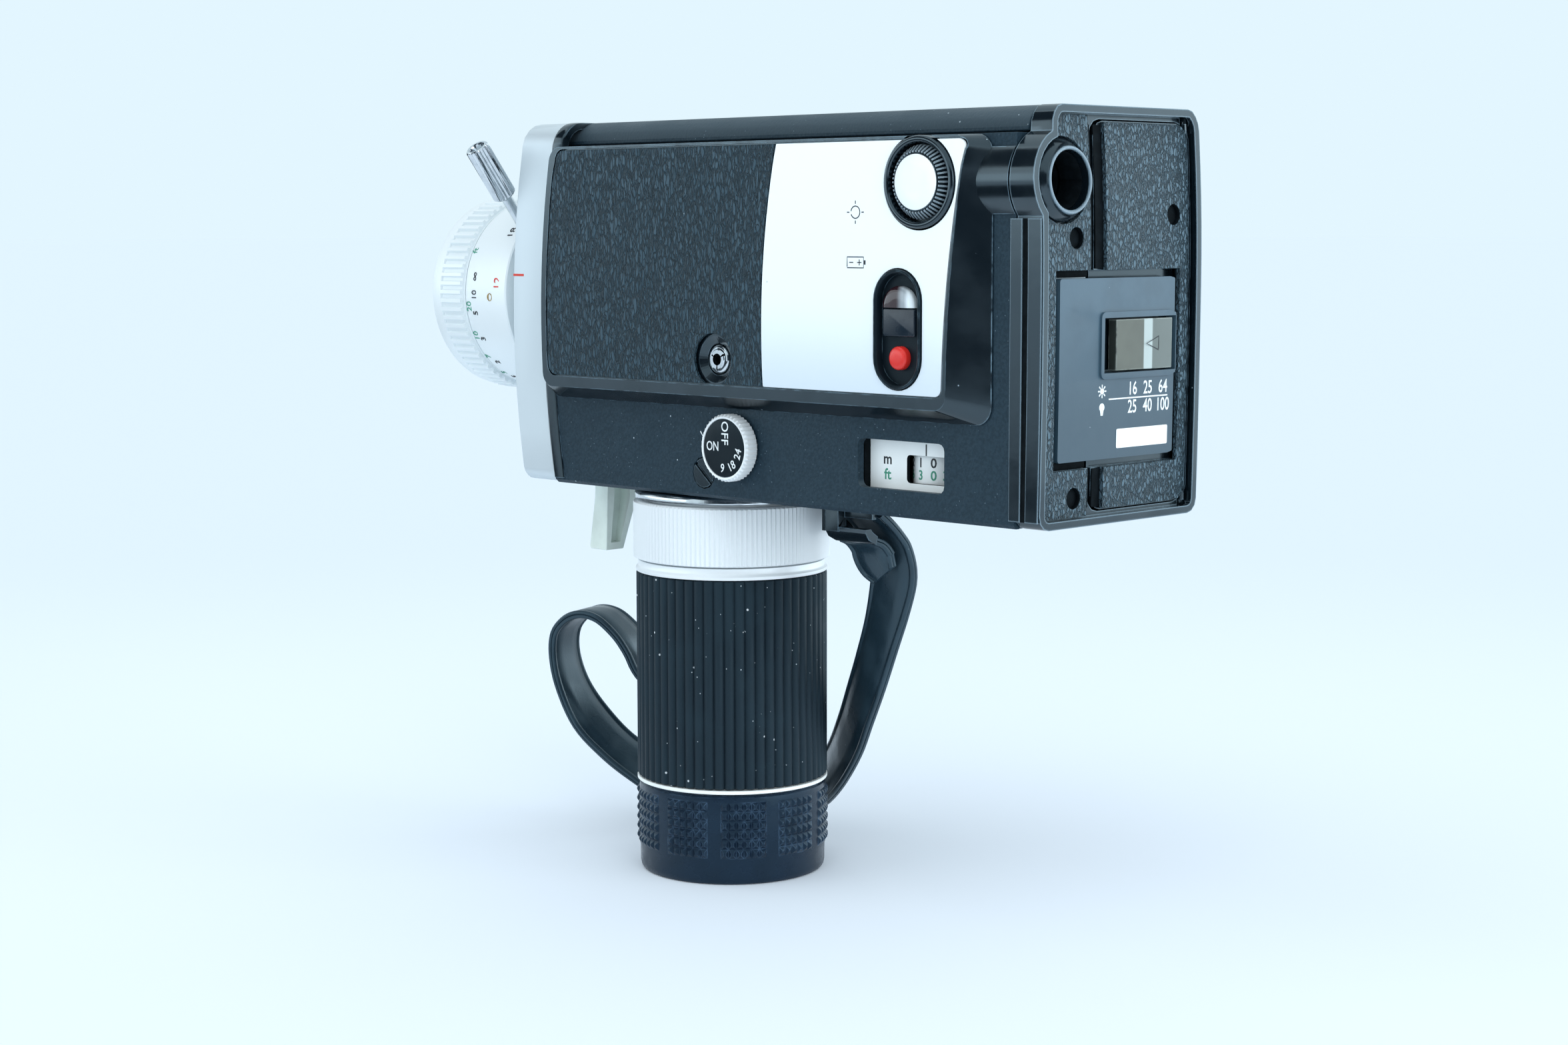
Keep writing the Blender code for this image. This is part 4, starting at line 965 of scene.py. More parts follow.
STRAP_ROUTE = (
    # position, direction across the strap
    ((3.0, 44.2, 86.5), (0.0, 1.0, 0.0)),
    ((0.0, 44.3, 84.2), (0.0, 1.0, 0.0)),
    ((-3.0, 44.4, 81.4), (0.0, 1.0, 0.0)),
    ((-5.6, 44.4, 78.2), (0.0, 1.0, 0.0)),
    ((-7.6, 44.0, 72.6), (0.0, 1.0, 0.0)),
    ((-9.0, 41.5, 65.7), (0.08, 0.96, -0.22)),
    ((-10.4, 37.6, 57.0), (0.19, 0.87, -0.44)),
    ((-12.7, 32.2, 47.6), (0.21, 0.79, -0.58)),
    ((-16.2, 25.8, 39.1), (0.22, 0.72, -0.66)),
    ((-20.6, 18.4, 30.2), (0.22, 0.64, -0.74)),
    ((-26.3, 8.2, 20.6), (0.3, 0.5, -0.8)),
    ((-32.0, -2.5, 13.6), (0.4, 0.35, -0.82)),
    ((-35.5, -13.5, 9.6), (0.55, 0.2, -0.78)),
    ((-34.0, -24.9, 7.8), (0.7, 0.15, -0.66)),
    ((-27.0, -34.5, 7.4), (0.8, 0.2, -0.45)),
    ((-19.5, -41.6, 10.4), (0.78, 0.2, -0.5)),
    ((-13.0, -46.8, 15.3), (0.85, 0.25, -0.4)),
    ((-9.5, -52.5, 20.1), (0.88, 0.25, -0.35)),
    ((-6.5, -57.9, 26.4), (0.85, 0.25, -0.4)),
    ((-4.5, -61.9, 33.9), (0.93, 0.3, -0.2)),
    ((-4.0, -64.5, 41.4), (0.95, 0.32, -0.05)),
    ((-4.0, -64.1, 47.6), (0.95, 0.32, 0.0)),
    ((-4.5, -60.5, 51.7), (0.95, 0.32, 0.0)),
    ((-5.5, -56.1, 53.4), (0.95, 0.32, 0.0)),
    ((-7.0, -51.7, 52.7), (0.95, 0.32, 0.0)),
    ((-9.2, -48.2, 49.4), (0.95, 0.32, 0.0)),
    ((-11.3, -46.0, 45.4), (0.95, 0.3, 0.0)),
    ((-14.8, -45.0, 40.0), (0.92, 0.25, -0.1)),
    ((-21.0, -43.6, 35.2), (0.88, 0.2, -0.25)),
    ((-29.0, -38.6, 32.8), (0.75, 0.2, -0.5)),
    ((-33.5, -28.0, 38.5), (0.7, 0.35, -0.5)),
    ((-34.5, -17.3, 51.3), (0.7, 0.5, -0.4)),
    ((-34.0, -12.2, 63.3), (0.7, 0.5, -0.4)),
    ((-32.0, -7.1, 74.2), (0.6, 0.3, -0.65)),
    ((-28.0, 4.0, 82.6), (0.35, -0.1, -0.9)),
    ((-20.0, 21.5, 84.1), (0.2, -0.3, -0.92)),
    ((-8.0, 31.5, 84.2), (0.1, -0.2, -0.97)),
    ((-1.9, 34.9, 84.2), (0.0, 0.0, -1.0)),
)
TONGUE_ROUTE = (
    ((3.0, 43.0, 80.5), (0.0, 1.0, 0.0)),
    ((1.0, 43.2, 79.6), (0.0, 1.0, 0.0)),
    ((-0.6, 43.6, 77.9), (0.0, 1.0, 0.0)),
    ((-1.6, 44.1, 75.4), (0.0, 1.0, 0.0)),
    ((-2.3, 46.0, 72.4), (0.0, 1.0, 0.0)),
)


def smooth_route(points, steps):
    """A smooth curve through points, with a few steps on each stretch."""
    curve = []
    last = len(points) - 1
    for i in range(last):
        before = points[max(i - 1, 0)]
        here = points[i]
        there = points[i + 1]
        after = points[min(i + 2, last)]
        for k in range(steps):
            t = k / steps
            bend = (2.0 * before - 5.0 * here + 4.0 * there - after) * t * t
            twist = (3.0 * here - before - 3.0 * there + after) * t ** 3
            curve.append(here + 0.5 * ((there - before) * t + bend + twist))
    curve.append(points[last])
    return curve


def strap_section(width):
    """Half of the strap's section: two plies that meet in a groove along the edge, and a welt line."""
    half, top = width / 2.0, STRAP_HALF_THICK
    return [(-half + 0.22, 0.0), (-half + 0.02, 0.14 * top), (-half, 0.55 * top), (-half + 0.16, 0.86 * top),
            (-half + 0.5, top), (-half + 0.95, 0.98 * top), (-half + 1.2, 0.70 * top), (-half + 1.5, 0.70 * top),
            (-half + 1.8, 0.92 * top), (-half * 0.3, 0.97 * top)]


def ribbon(route, widths, steps):
    """A flat strap along a route, and the points that it follows."""
    places = smooth_route([Vector(place) for place, _ in route], steps)
    crosses = smooth_route([Vector(cross).normalized() for _, cross in route], steps)
    rings = []
    last = len(places) - 1
    for i, width in enumerate(smooth_route(widths, steps)):
        tangent = (places[min(i + 1, last)] - places[max(i - 1, 0)]).normalized()
        across = (crosses[i] - tangent * crosses[i].dot(tangent)).normalized()
        up = tangent.cross(across)
        upper = strap_section(width)
        upper += [(-u, v) for u, v in reversed(upper)]
        lower = [(u, -v) for u, v in reversed(upper[1:-1])]
        rings.append([places[i] + across * u + up * v for u, v in upper + lower])
    return loft(rings), places


def make_strap():
    full = len(STRAP_ROUTE) - len(STRAP_NECK)
    widths = [STRAP_WIDTH] * full + list(STRAP_NECK)
    tongue_mesh, _ = ribbon(TONGUE_ROUTE, list(TONGUE_WIDTHS), 6)
    tongue = piece("strap_tongue", tongue_mesh, "vinyl", "camera", ("strap_keeper",), 50.0)
    band_mesh, places = ribbon(STRAP_ROUTE, widths, 5)
    band = piece("strap_band", band_mesh, "vinyl", "camera", ("strap",), 50.0)


# Body


def make_body():
    dressed("body_shell", "crinkle", 0.4)
    dressed("side_cover", "crinkle", 0.3)
    dressed("front_plate", "plate", 0.6)
    dressed("strap_lug", "gloss", 0.5)
    make_trigger()
    make_front_band()
    index = stroke([(-1.9, 0.0), (1.9, 0.0)], 0.55)
    flat_mark("zoom_index", [index], left_side(-49.2, 137.3, BODY_LEFT), "red_ink", "camera")


def make_trigger():
    """The trigger, drawn in to its left side and thickened towards its lower end."""
    made = dressed("trigger", "ivory", 0.5)
    left = max(vert.co.x for vert in made.data.vertices)
    for vert in made.data.vertices:
        share = max(0.0, min(1.0, (83.0 - vert.co.z / MM) / 11.0))
        vert.co.x = left - (left - vert.co.x) * (1.0 - 0.42 * share)
        if vert.co.y / MM > -40.0 - 2.2 * share:
            vert.co.y += 2.2 * share * MM


def band_ring(x, z, angle, lift):
    """A low rounded section standing on the housing's front edge, facing an angle about the Y axis."""
    width, depth = 3.4, -1.5
    section = ((0.0, depth), (0.0, 0.35 * lift), (0.25, 0.8 * lift), (0.7, lift), (width - 0.9, lift),
               (width - 0.3, 0.6 * lift), (width, 0.1 * lift), (width, depth))
    front = BODY_FRONT + bow(z) + 0.1
    nx, nz = math.cos(math.radians(angle)), math.sin(math.radians(angle))
    return [(x + nx * h, front + y, z + nz * h) for y, h in section]


def make_front_band():
    """The smooth band that closes the housing's front edge, up the left side and over to the right one."""
    lift = 0.55
    shoulder = BODY_TOP - TOP_CORNER
    rings = [band_ring(BODY_LEFT, z, 0.0, lift) for z in levels(90.2, shoulder, 24)]
    left, right = BODY_LEFT - TOP_CORNER, BODY_RIGHT + TOP_CORNER
    for x, start in ((left, 0.0), (right, 90.0)):
        for angle, (px, pz) in zip(levels(start, start + 90.0, 8), arc(x, shoulder, TOP_CORNER, start, start + 90.0, 8)):
            rings.append(band_ring(px, pz, angle, lift * max(0.0, math.cos(math.radians(angle)))))
    rings += [band_ring(BODY_RIGHT, z, 180.0, 0.0) for z in levels(shoulder, BODY_BOTTOM + LOW_CORNER, 10)[1:]]
    piece("front_band", loft(rings), "gloss", "camera")


# Pod and its controls


def split_line(z):
    """The bowed line where the leatherette meets the silver panel."""
    return PANEL_SPLIT + 1.2 * bow(z)


def lean(z, foot, rate):
    """A rear edge that runs further back the higher it is."""
    return foot + rate * max(0.0, z - POD_Z[0]) ** 2


def panel_rear(z):
    return lean(z, 87.9, 0.0021)


def pod_ring(x, front, rear, low, high, corner):
    """The pod's outline at one height above the housing, rear being a function of height."""
    outline = [(front + corner + bow(z) + y, z) for y, z in arc(0.0, low + corner, corner, 270, 180, 6)]
    outline += [(front + bow(z), z) for z in levels(low + corner, high - corner, 14)[1:-1]]
    outline += [(front + corner + bow(z) + y, z) for y, z in arc(0.0, high - corner, corner, 180, 90, 6)]
    outline += arc(rear(high) - corner, high - corner, corner, 90, 0, 6)
    outline += [(rear(z), z) for z in levels(high - corner, low + corner, 14)[1:-1]]
    outline += arc(rear(low) - corner, low + corner, corner, 0, -90, 6)
    return [(x, y, z) for y, z in outline]


def make_pod_shell():
    """The raised pod with its sloping sides, the recess in its face and the seats of its controls."""
    base, face = BODY_LEFT + 0.3, INSERT_X[1]
    foot = pod_ring(base, -38.5, lambda z: 97.3, 109.2, POD_Z[1] + 0.2, 4.0)
    edge = pod_ring(face, -35.2, lambda z: lean(z, 89.1, 0.00173), *POD_Z, 3.0)
    pod = piece("pod_shell", loft([foot, edge]), "gloss", "camera", ("side_pod",), 28.0)
    drill(pod, prism(insert_outline(insert_front, panel_rear, 2.6, 1.9, 0.3), "X", INSERT_X[0] - 0.3, 29.0))
    drill(pod, turned("X", KNOB, [(9.7, 21.0), (9.7, 29.0)], 72, closed=False))
    drill(pod, prism(slot_outline(*CHECK, 6.7, 12.5, 16), "X", 23.0, 29.0))
    drill(pod, turned("X", JACK, [(3.5, 23.9), (3.5, 25.0), (5.4, 26.3), (5.4, 29.0)], 48, closed=False))
    rounded(pod, 0.5)
    reach = math.degrees(math.acos((base - EYE[0]) / TUNNEL_R))
    tunnel = arc(EYE[0], EYE[1], TUNNEL_R, -reach, reach, 32)
    piece("finder_tunnel", prism(tunnel, "Y", 90.0, 103.0), "gloss", "camera")


def insert_front(z):
    return INSERT_FRONT + bow(z)


def insert_outline(front, rear, front_corner, rear_corner, grow=0.0):
    """An outline in the pod's recess, between two edges that are given as functions of height."""
    low, high = INSERT_Z[0] - grow, INSERT_Z[1] + grow
    rise = levels(low + front_corner, high - front_corner, 14)[1:-1]
    fall = levels(high - rear_corner, low + rear_corner, 14)[1:-1]
    outline = arc(front(low) + front_corner - grow, low + front_corner, front_corner, 270, 180, 5)
    outline += [(front(z) - grow, z) for z in rise]
    outline += arc(front(high) + front_corner - grow, high - front_corner, front_corner, 180, 90, 5)
    outline += arc(rear(high) - rear_corner + grow, high - rear_corner, rear_corner, 90, 0, 5)
    outline += [(rear(z) + grow, z) for z in fall]
    outline += arc(rear(low) - rear_corner + grow, low + rear_corner, rear_corner, 0, -90, 5)
    return outline


def make_inserts():
    """The leatherette and the silver panel, which meet edge to edge in the pod's recess."""
    cover = insert_outline(insert_front, lambda z: split_line(z) - 0.15, 2.4, 0.25)
    cover = piece("pod_cover", prism(cover, "X", *INSERT_X), "side_leather", "camera", ("pod_leatherette",))
    drill(cover, turned("X", JACK, [(5.7, 25.0), (5.7, 29.0)], 48, closed=False))
    rounded(cover, 0.15)
    plate = insert_outline(lambda z: split_line(z) + 0.15, panel_rear, 0.35, 1.6)
    plate = piece("pod_panel", prism(plate, "X", *INSERT_X), "panel", "camera", ("silver_panel",))
    drill(plate, turned("X", KNOB, [(9.6, 25.0), (9.6, 29.0)], 72, closed=False))
    drill(plate, prism(slot_outline(*CHECK, 6.6, 12.4, 16), "X", 25.0, 29.0))
    rounded(plate, 0.12)


def make_pod():
    make_pod_shell()
    make_inserts()
    piece("knob_collar", turned("X", KNOB, [
        (9.3, 22.6), (9.3, 27.1), (9.15, 27.5), (8.85, 27.7), (8.4, 27.75), (8.05, 27.55),
        (7.9, 27.2), (7.9, 24.2), (1.9, 24.2), (1.9, 22.6)], 72), "gloss", "camera", ("knob_bezel",))
    make_finder_knob()
    make_check()
    make_jack()
    make_panel_signs()


def make_finder_knob():
    teeth = 48
    piece("focus_knob", turned("X", KNOB, [
        (1.5, 20.3), (1.5, 24.5), (7.0, 24.6), (7.2, 24.9), (7.2, 26.3), (5.95, 28.0), (5.7, 28.2), (5.6, 28.0)],
        72, closed=False), "satin_black", "finder_focus_knob", ("finder_focus_knob",))
    bm = bmesh.new()
    for k in range(teeth):
        angle = 2.0 * math.pi * k / teeth
        rings = []
        for radius, x in ((7.1, 25.0), (7.45, 25.0), (7.45, 26.5), (6.15, 28.15), (5.9, 28.0)):
            wide = 0.16 / radius
            rings.append((x, radius, wide))
        loft_into(bm, [[(x, KNOB[0] + r * math.cos(angle + side * w), KNOB[1] + r * math.sin(angle + side * w))
                        for x, r, w in rings] for side in (-1, 1)])
    piece("focus_knob_teeth", bm, "knurl", "finder_focus_knob")
    piece("focus_knob_cap", turned("X", KNOB, [
        (5.55, 27.9), (5.55, 28.2), (5.35, 28.35), (3.0, 28.42), (0.6, 28.45)], 64, closed=False),
        "white", "finder_focus_knob")


def slot_outline(y, z, radius, half, steps=12):
    reach = half - radius
    return arc(y, z + reach, radius, 0, 180, steps) + arc(y, z - reach, radius, 180, 360, steps)


def make_check():
    y, z = CHECK
    rings = []
    for inset, x in ((0.0, 23.3), (0.0, 27.2), (0.12, 27.5), (0.4, 27.62), (0.7, 27.5), (0.9, 27.2), (0.95, 25.6)):
        rings.append([(x, u, v) for u, v in slot_outline(y, z, 6.4 - inset, 12.2 - inset, 16)])
    piece("check_frame", loft(rings), "satin_black", "camera", ("check_bezel",))
    arch = arc(y, z + 4.4, 4.4, 0, 180, 20)
    rings = []
    for share, x in ((1.0, 25.65), (1.0, 26.5), (0.97, 26.85), (0.88, 27.1), (0.72, 27.28), (0.4, 27.35)):
        rings.append([(x, y + (u - y) * share, z + 4.4 + (v - z - 4.4) * share) for u, v in arch])
    piece("check_window", loft(rings), "smoke", "camera", ("check_lamp",))
    step = rounded_box((y - 4.4, z - 1.4), (y + 4.4, z + 4.2), 0.4)
    piece("check_step", slab(step, "X", 25.5, 26.75, 0.35), "dark_slate", "camera")
    piece("check_push", turned("X", BUTTON, [
        (2.4, 25.0), (2.4, 26.7), (2.28, 27.0), (1.95, 27.22), (1.4, 27.36), (0.5, 27.4)], 48, closed=False),
        "red", "check_button", ("check_button",))


def sector(centre, inner, outer, low, high, start, end, steps=14):
    """A piece of a ring round the X axis."""
    rings = []
    for i in range(steps + 1):
        angle = math.radians(start + (end - start) * i / steps)
        c, s = math.cos(angle), math.sin(angle)
        section = ((inner, low), (outer, low), (outer, high - 0.15), (outer - 0.15, high), (inner + 0.1, high))
        rings.append([(x, centre[0] + r * c, centre[1] + r * s) for r, x in section])
    return rings


def make_jack():
    bm = turned("X", JACK, [
        (3.2, 24.2), (3.2, 24.9), (3.0, 25.2), (2.55, 25.35), (2.3, 25.2), (2.25, 24.2)], 48)
    for k in range(3):
        start = 120.0 * k + 35.0
        loft_into(bm, sector(JACK, 1.2, 2.2, 24.2, 25.7, start, start + 108.0))
    piece("jack_collet", bm, "chrome", "camera", ("jack_socket",))
    piece("jack_bore", turned("X", JACK, [(1.18, 24.0), (1.18, 25.1), (1.05, 25.1), (1.0, 24.2), (0.2, 24.15)],
                              24, closed=False), "hollow", "camera")


def make_panel_signs():
    face = 27.0
    ring_line = stroke(arc(0.0, 0.0, 1.25, -160, 170, 20), 0.22)
    ticks = [stroke([(1.7 * math.cos(a), 1.7 * math.sin(a)), (2.35 * math.cos(a), 2.35 * math.sin(a))], 0.22)
             for a in (0.0, math.pi / 2.0, math.pi, 1.5 * math.pi)]
    flat_mark("focus_sign", [ring_line] + ticks, left_side(64.6, 151.6, face), "black_ink", "camera", 0.03)
    cell = stroke([(-2.3, -1.1), (2.3, -1.1), (2.3, 1.1), (-2.3, 1.1), (-2.3, -0.9)], 0.22)
    pole = [(2.4, -0.45), (2.85, -0.45), (2.85, 0.45), (2.4, 0.45)]
    plus = [stroke([(0.5, 0.0), (1.7, 0.0)], 0.2), stroke([(1.1, -0.6), (1.1, 0.6)], 0.2)]
    minus = stroke([(-1.7, 0.0), (-0.6, 0.0)], 0.2)
    flat_mark("cell_sign", [cell, pole, minus] + plus, left_side(64.6, 141.4, face), "black_ink", "camera", 0.03)


# Lower side controls


def make_side_controls():
    make_mode_dial()
    dressed("access_plug", "gloss", 0.2)
    make_counter()


def make_mode_dial():
    teeth = 44
    piece("dial_rim", turned("X", DIAL, [
        (1.9, 18.4), (1.9, 22.4), (7.0, 22.4), (flutes(7.4, 0.45, teeth, SHARP_RIB), 22.7),
        (flutes(7.4, 0.45, teeth, SHARP_RIB), 25.35), (6.85, 25.8), (6.45, 25.75), (6.4, 25.5)],
        4 * teeth, closed=False), "grip_silver", "mode_dial", ("mode_dial",), 30.0)
    piece("dial_face", turned("X", DIAL, [
        (6.38, 25.4), (6.38, 25.58), (6.2, 25.64), (3.0, 25.66), (0.5, 25.66)], 64, closed=False),
        "satin_black", "mode_dial")
    x = 25.66
    lettering("dial_off", "OFF", 3.0, left_side(DIAL[0] + 0.2, DIAL[1] + 3.3, x, -90.0), "white_ink", "mode_dial",
              0.03, bold=0.02)
    lettering("dial_on", "ON", 2.9, left_side(DIAL[0] - 3.5, DIAL[1] + 0.2, x), "white_ink", "mode_dial", 0.03,
              0.85, 0.02)
    for text, angle in (("9", -96.0), ("18", -58.0), ("24", -14.0)):
        turn = math.radians(angle)
        place = left_side(DIAL[0] + 4.5 * math.cos(turn), DIAL[1] + 4.5 * math.sin(turn), x, angle + 90.0)
        lettering(f"dial_{text}", text, 2.7, place, "white_ink", "mode_dial", 0.03, 0.9, 0.02)
    notch = stroke([(-0.9, 0.5), (0.0, -0.7), (0.9, 0.5)], 0.3)
    flat_mark("dial_index", [notch], left_side(13.9, 103.2, BODY_LEFT), "white_ink", "camera", 0.03)


def make_counter():
    """The counter: a white tray with dark walls, and a numbered drum behind its window."""
    mask = dressed("counter_mask", "white", 0.15)
    mask.data.materials.append(LOOKS["hollow"])
    floor = 18.1 * MM
    for face in mask.data.polygons:
        if face.center.x > floor + 0.0001 or face.normal.x < 0.5:
            face.material_index = 1
    piece("counter_roll", turned("Z", DRUM, [
        (1.5, 91.1), (1.5, 94.8), (DRUM_R - 0.2, 94.8), (DRUM_R, 95.0), (DRUM_R, 102.6), (DRUM_R - 0.2, 102.8),
        (1.5, 102.8), (1.0, 102.8)], 72, closed=False), "white", "counter_drum", ("counter_drum",))
    step = 360.0 / 13.0
    for k in range(13):
        angle = step * k + 20.0
        metres, feet = str((26 - 2 * k) % 26 // 2), str((39 - 3 * k) % 39)
        for name, text, z, look in (("metre", metres, 100.1, "black_ink"), ("foot", feet, 97.5, "green_ink")):
            lettering(f"count_{name}_{k}", text, 2.8, drum_map(angle, z, DRUM_R), look, "counter_drum", 0.03,
                      bold=0.05)
    x = 18.1
    lettering("count_m", "m", 3.2, left_side(65.6, 100.5, x), "black_ink", "camera", 0.03, bold=0.06)
    lettering("count_ft", "ft", 3.2, left_side(65.6, 97.3, x), "green_ink", "camera", 0.03, bold=0.06)
    line = stroke([(0.0, -1.2), (0.0, 1.2)], 0.35)
    flat_mark("count_index", [line], left_side(76.3, 103.0, x), "black_ink", "camera", 0.03)


# Lens


def make_lens():
    count = len(BAR) * FOCUS_TEETH
    bar = flutes(23.95, 0.75, FOCUS_TEETH, BAR)
    piece("focus_grip", turned("Y", LENS, [
        (22.6, -85.4), (23.1, -85.25), (23.35, -84.8), (23.45, -81.8), (22.9, -81.45), (bar, -81.3),
        (bar, -73.6), (22.75, -73.5), (22.7, -73.0), (BARREL_R, -73.0), (BARREL_R, -78.4), (20.0, -78.4),
        (20.9, -84.9), (21.3, -85.4)], count), "lens_silver", "focus_ring", ("focus_ring",), 30.0)
    piece("scale_ring", turned("Y", LENS, [
        (22.6, -72.7), (22.85, -72.55), (23.95, -60.4), (24.25, -56.9), (24.2, -56.2), (23.9, -55.9),
        (20.2, -55.9), (20.2, -52.7), (BARREL_R, -52.7), (BARREL_R, -72.7)], 144),
        "lens_silver", "zoom_ring", ("zoom_ring",), 30.0)
    piece("front_hood", turned("Y", LENS, [
        (20.6, -85.0), (20.3, -83.0), (19.7, -78.7), (14.8, -78.7), (14.8, -79.5), (15.6, -79.5),
        (15.6, -82.6), (16.2, -82.9), (16.3, -83.3), (17.0, -83.5), (17.1, -83.9), (17.8, -84.1), (18.6, -84.7)],
        96), "hollow", "focus_ring", ("front_cell",))
    dome = [(15.3 * math.sin(math.radians(a)), -81.0 - 2.6 * math.cos(math.radians(a)))
            for a in (90, 75, 60, 45, 30, 15, 4)]
    piece("front_glass", turned("Y", LENS, [(15.3, -79.9)] + dome, 64, closed=False), "glass", "focus_ring",
          ("front_element",))
    make_lens_scale()
    make_zoom_lever()


def make_lens_scale():
    """Distances on the front of the zoom ring and focal lengths by the index line."""
    metres = (("∞", 10.5), ("10", -0.6), ("5", -11.4), ("3", -28.0), ("2", -46.0), ("1.5", -64.0))
    for k, (text, angle) in enumerate(metres):
        lettering(f"metre_{k}", text, 2.5, lens_map(angle, -68.9, 23.25), "black_ink", "zoom_ring")
    feet = (("ft", 27.0), ("20", -7.6), ("10", -26.4), ("7", -42.0), ("5", -58.0))
    for k, (text, angle) in enumerate(feet):
        lettering(f"foot_{k}", text, 2.6, lens_map(angle, -71.4, 23.0), "green_ink", "zoom_ring")
    zooms = (("12", 6.5, "red_ink"), ("18", 38.0, "black_ink"), ("24", 62.0, "black_ink"), ("36", 92.0, "black_ink"))
    for k, (text, angle, look) in enumerate(zooms):
        lettering(f"zoom_{k}", text, 3.2, lens_map(angle, -59.3, 24.05), look, "zoom_ring")
    for k, angle in enumerate((-1.5, 118.5, 238.5)):
        turn = math.radians(angle)
        out = Vector((math.cos(turn), 0.0, math.sin(turn)))
        around = Vector((-math.sin(turn), 0.0, math.cos(turn)))
        middle = Vector((LENS[0], -62.3, LENS[1])) + out * 23.75
        along = Vector((0.0, 1.0, 0.0))
        rings = []
        for r, h in ((0.95, -0.3), (0.95, 0.12), (0.8, 0.2), (0.75, -0.02), (0.2, -0.02)):
            rings.append([middle + out * h + along * r * math.cos(a) + around * r * math.sin(a)
                          for a in [2.0 * math.pi * j / 20 for j in range(20)]])
        piece(f"set_screw_{k}", loft(rings), "brass", "zoom_ring")


def make_zoom_lever():
    along = Vector((math.sin(LEVER_LEAN), 0.0, math.cos(LEVER_LEAN)))
    across = Vector((math.cos(LEVER_LEAN), 0.0, -math.sin(LEVER_LEAN)))
    forward = Vector((0.0, 1.0, 0.0))
    base = Vector(LEVER_BASE)
    teeth = 20
    count = 4 * teeth
    flute = flutes(2.85, 0.38, teeth, SHARP_RIB)
    rings = []
    for radius, reach in ((1.3, 0.8), (1.3, 13.4), (1.5, 13.8), (2.4, 14.2), (flute, 14.6), (flute, 27.9),
                          (2.6, 28.25), (2.4, 28.4), (2.05, 28.35), (1.9, 28.1), (1.75, 25.5)):
        radii = radius if isinstance(radius, list) else [radius] * count
        rings.append([base + along * reach + across * r * math.cos(2.0 * math.pi * j / count)
                      + forward * r * math.sin(2.0 * math.pi * j / count) for j, r in enumerate(radii)])
    piece("zoom_stub", loft(rings), "chrome", "zoom_ring", ("zoom_lever",), 30.0)


# Rear


def make_rear():
    door_skin = dressed("rear_door", "gloss", 0.25)
    for vert in door_skin.data.vertices:
        vert.co.z = min(max(vert.co.z, DOOR_Z[0] * MM), DOOR_Z[1] * MM)
    fall_back(door_skin, DOOR_INSIDE)
    pieces = [dressed("rear_frame", "rim", 0.45, 30.0)] + make_rear_seam()
    strip = dressed("rear_strip_leather", "rear_leather", 0.2)
    door = make_door_leather()
    # The near-black cups in the screw holes are painted shade.
    for name, owner, body, x, z in (("screw_hole_1", strip, "camera", 10.2, 146.4),
                                    ("screw_hole_2", strip, "camera", 10.0, 94.7),
                                    ("screw_hole_3", door, "rear_door", -21.7, 151.0)):
        drill(owner, turned("Y", (x, z), [(2.15, 107.0), (2.15, 110.0)], 32, closed=False))
        pieces.append(piece(name, turned("Y", (x, z), [
            (2.15, 107.6), (2.17, 108.6), (2.1, 108.7), (2.05, 108.6), (2.0, 107.75), (0.3, 107.7)],
            32, closed=False), "hollow", body))
    pieces += [strip, door] + make_gap_shade() + make_eyepiece() + make_latch()
    for made in pieces:
        fall_back(made)


def make_rear_seam():
    """Left of the rear: a smooth border on the housing, a groove painted near-black as painted shade, and the frame's
    raised side.
    """
    made = []
    # The seam groove's near-black is painted shade.
    for name, look, x, low, high in (("housing_border", "rim", 22.3, 101.7, 104.8),
                                     ("seam_groove", "hollow", 22.05, 104.6, 106.4),
                                     ("frame_side", "rim", 22.3, 106.2, 109.7)):
        outline = [(low, 90.6), (high, 90.6), (high, 150.3), (low, 150.3)]
        made.append(rounded(piece(name, prism(outline, "X", 21.4, x), look, "camera"), 0.12))
    return made


def make_door_leather():
    """The door's leatherette, square beside the fixed strip and cut out round the latch plate."""
    left, right, low, high = 0.6, -26.5, 92.0, 169.3
    pocket_right, pocket_low, pocket_high = -23.8, 100.4, 140.0
    corner = 2.6
    outline = arc(right + corner, high - corner, corner, 90, 180, 5)
    outline += arc(right + corner, low + corner, corner, 180, 270, 5)
    outline += [(left, low), (left, pocket_low), (pocket_right, pocket_low), (pocket_right, pocket_high),
                (left, pocket_high), (left, high)]
    made = piece("door_cover", prism(outline, "Y", *LEATHER_Y), "rear_leather", "rear_door", ("door_leather",))
    return rounded(made, 0.2)


def make_gap_shade():
    """Near-black strips of painted shade in the gaps beside the door's leatherette and round the latch plate."""
    made = []
    for name, body, floor, high, low, foot, top in (("gap_door_top", "rear_door", 107.3, 3.2, 0.4, 140.3, 168.8),
                                                    ("gap_door_foot", "rear_door", 107.3, 3.2, 0.4, 92.4, 100.2),
                                                    ("gap_frame_top", "camera", 107.3, 5.8, 4.3, 140.3, 168.8),
                                                    ("gap_frame_foot", "camera", 107.3, 5.8, 4.3, 92.4, 100.2),
                                                    ("pocket_top", "camera", 106.1, 16.5, 4.3, 138.6, 139.95),
                                                    ("pocket_foot", "camera", 106.1, 16.5, 4.3, 100.45, 101.8)):
        outline = rounded_box((low, foot), (high, top), 0.3)
        made.append(piece(name, slab(outline, "Y", floor, floor + 0.6, 0.1), "hollow", body))
    return made


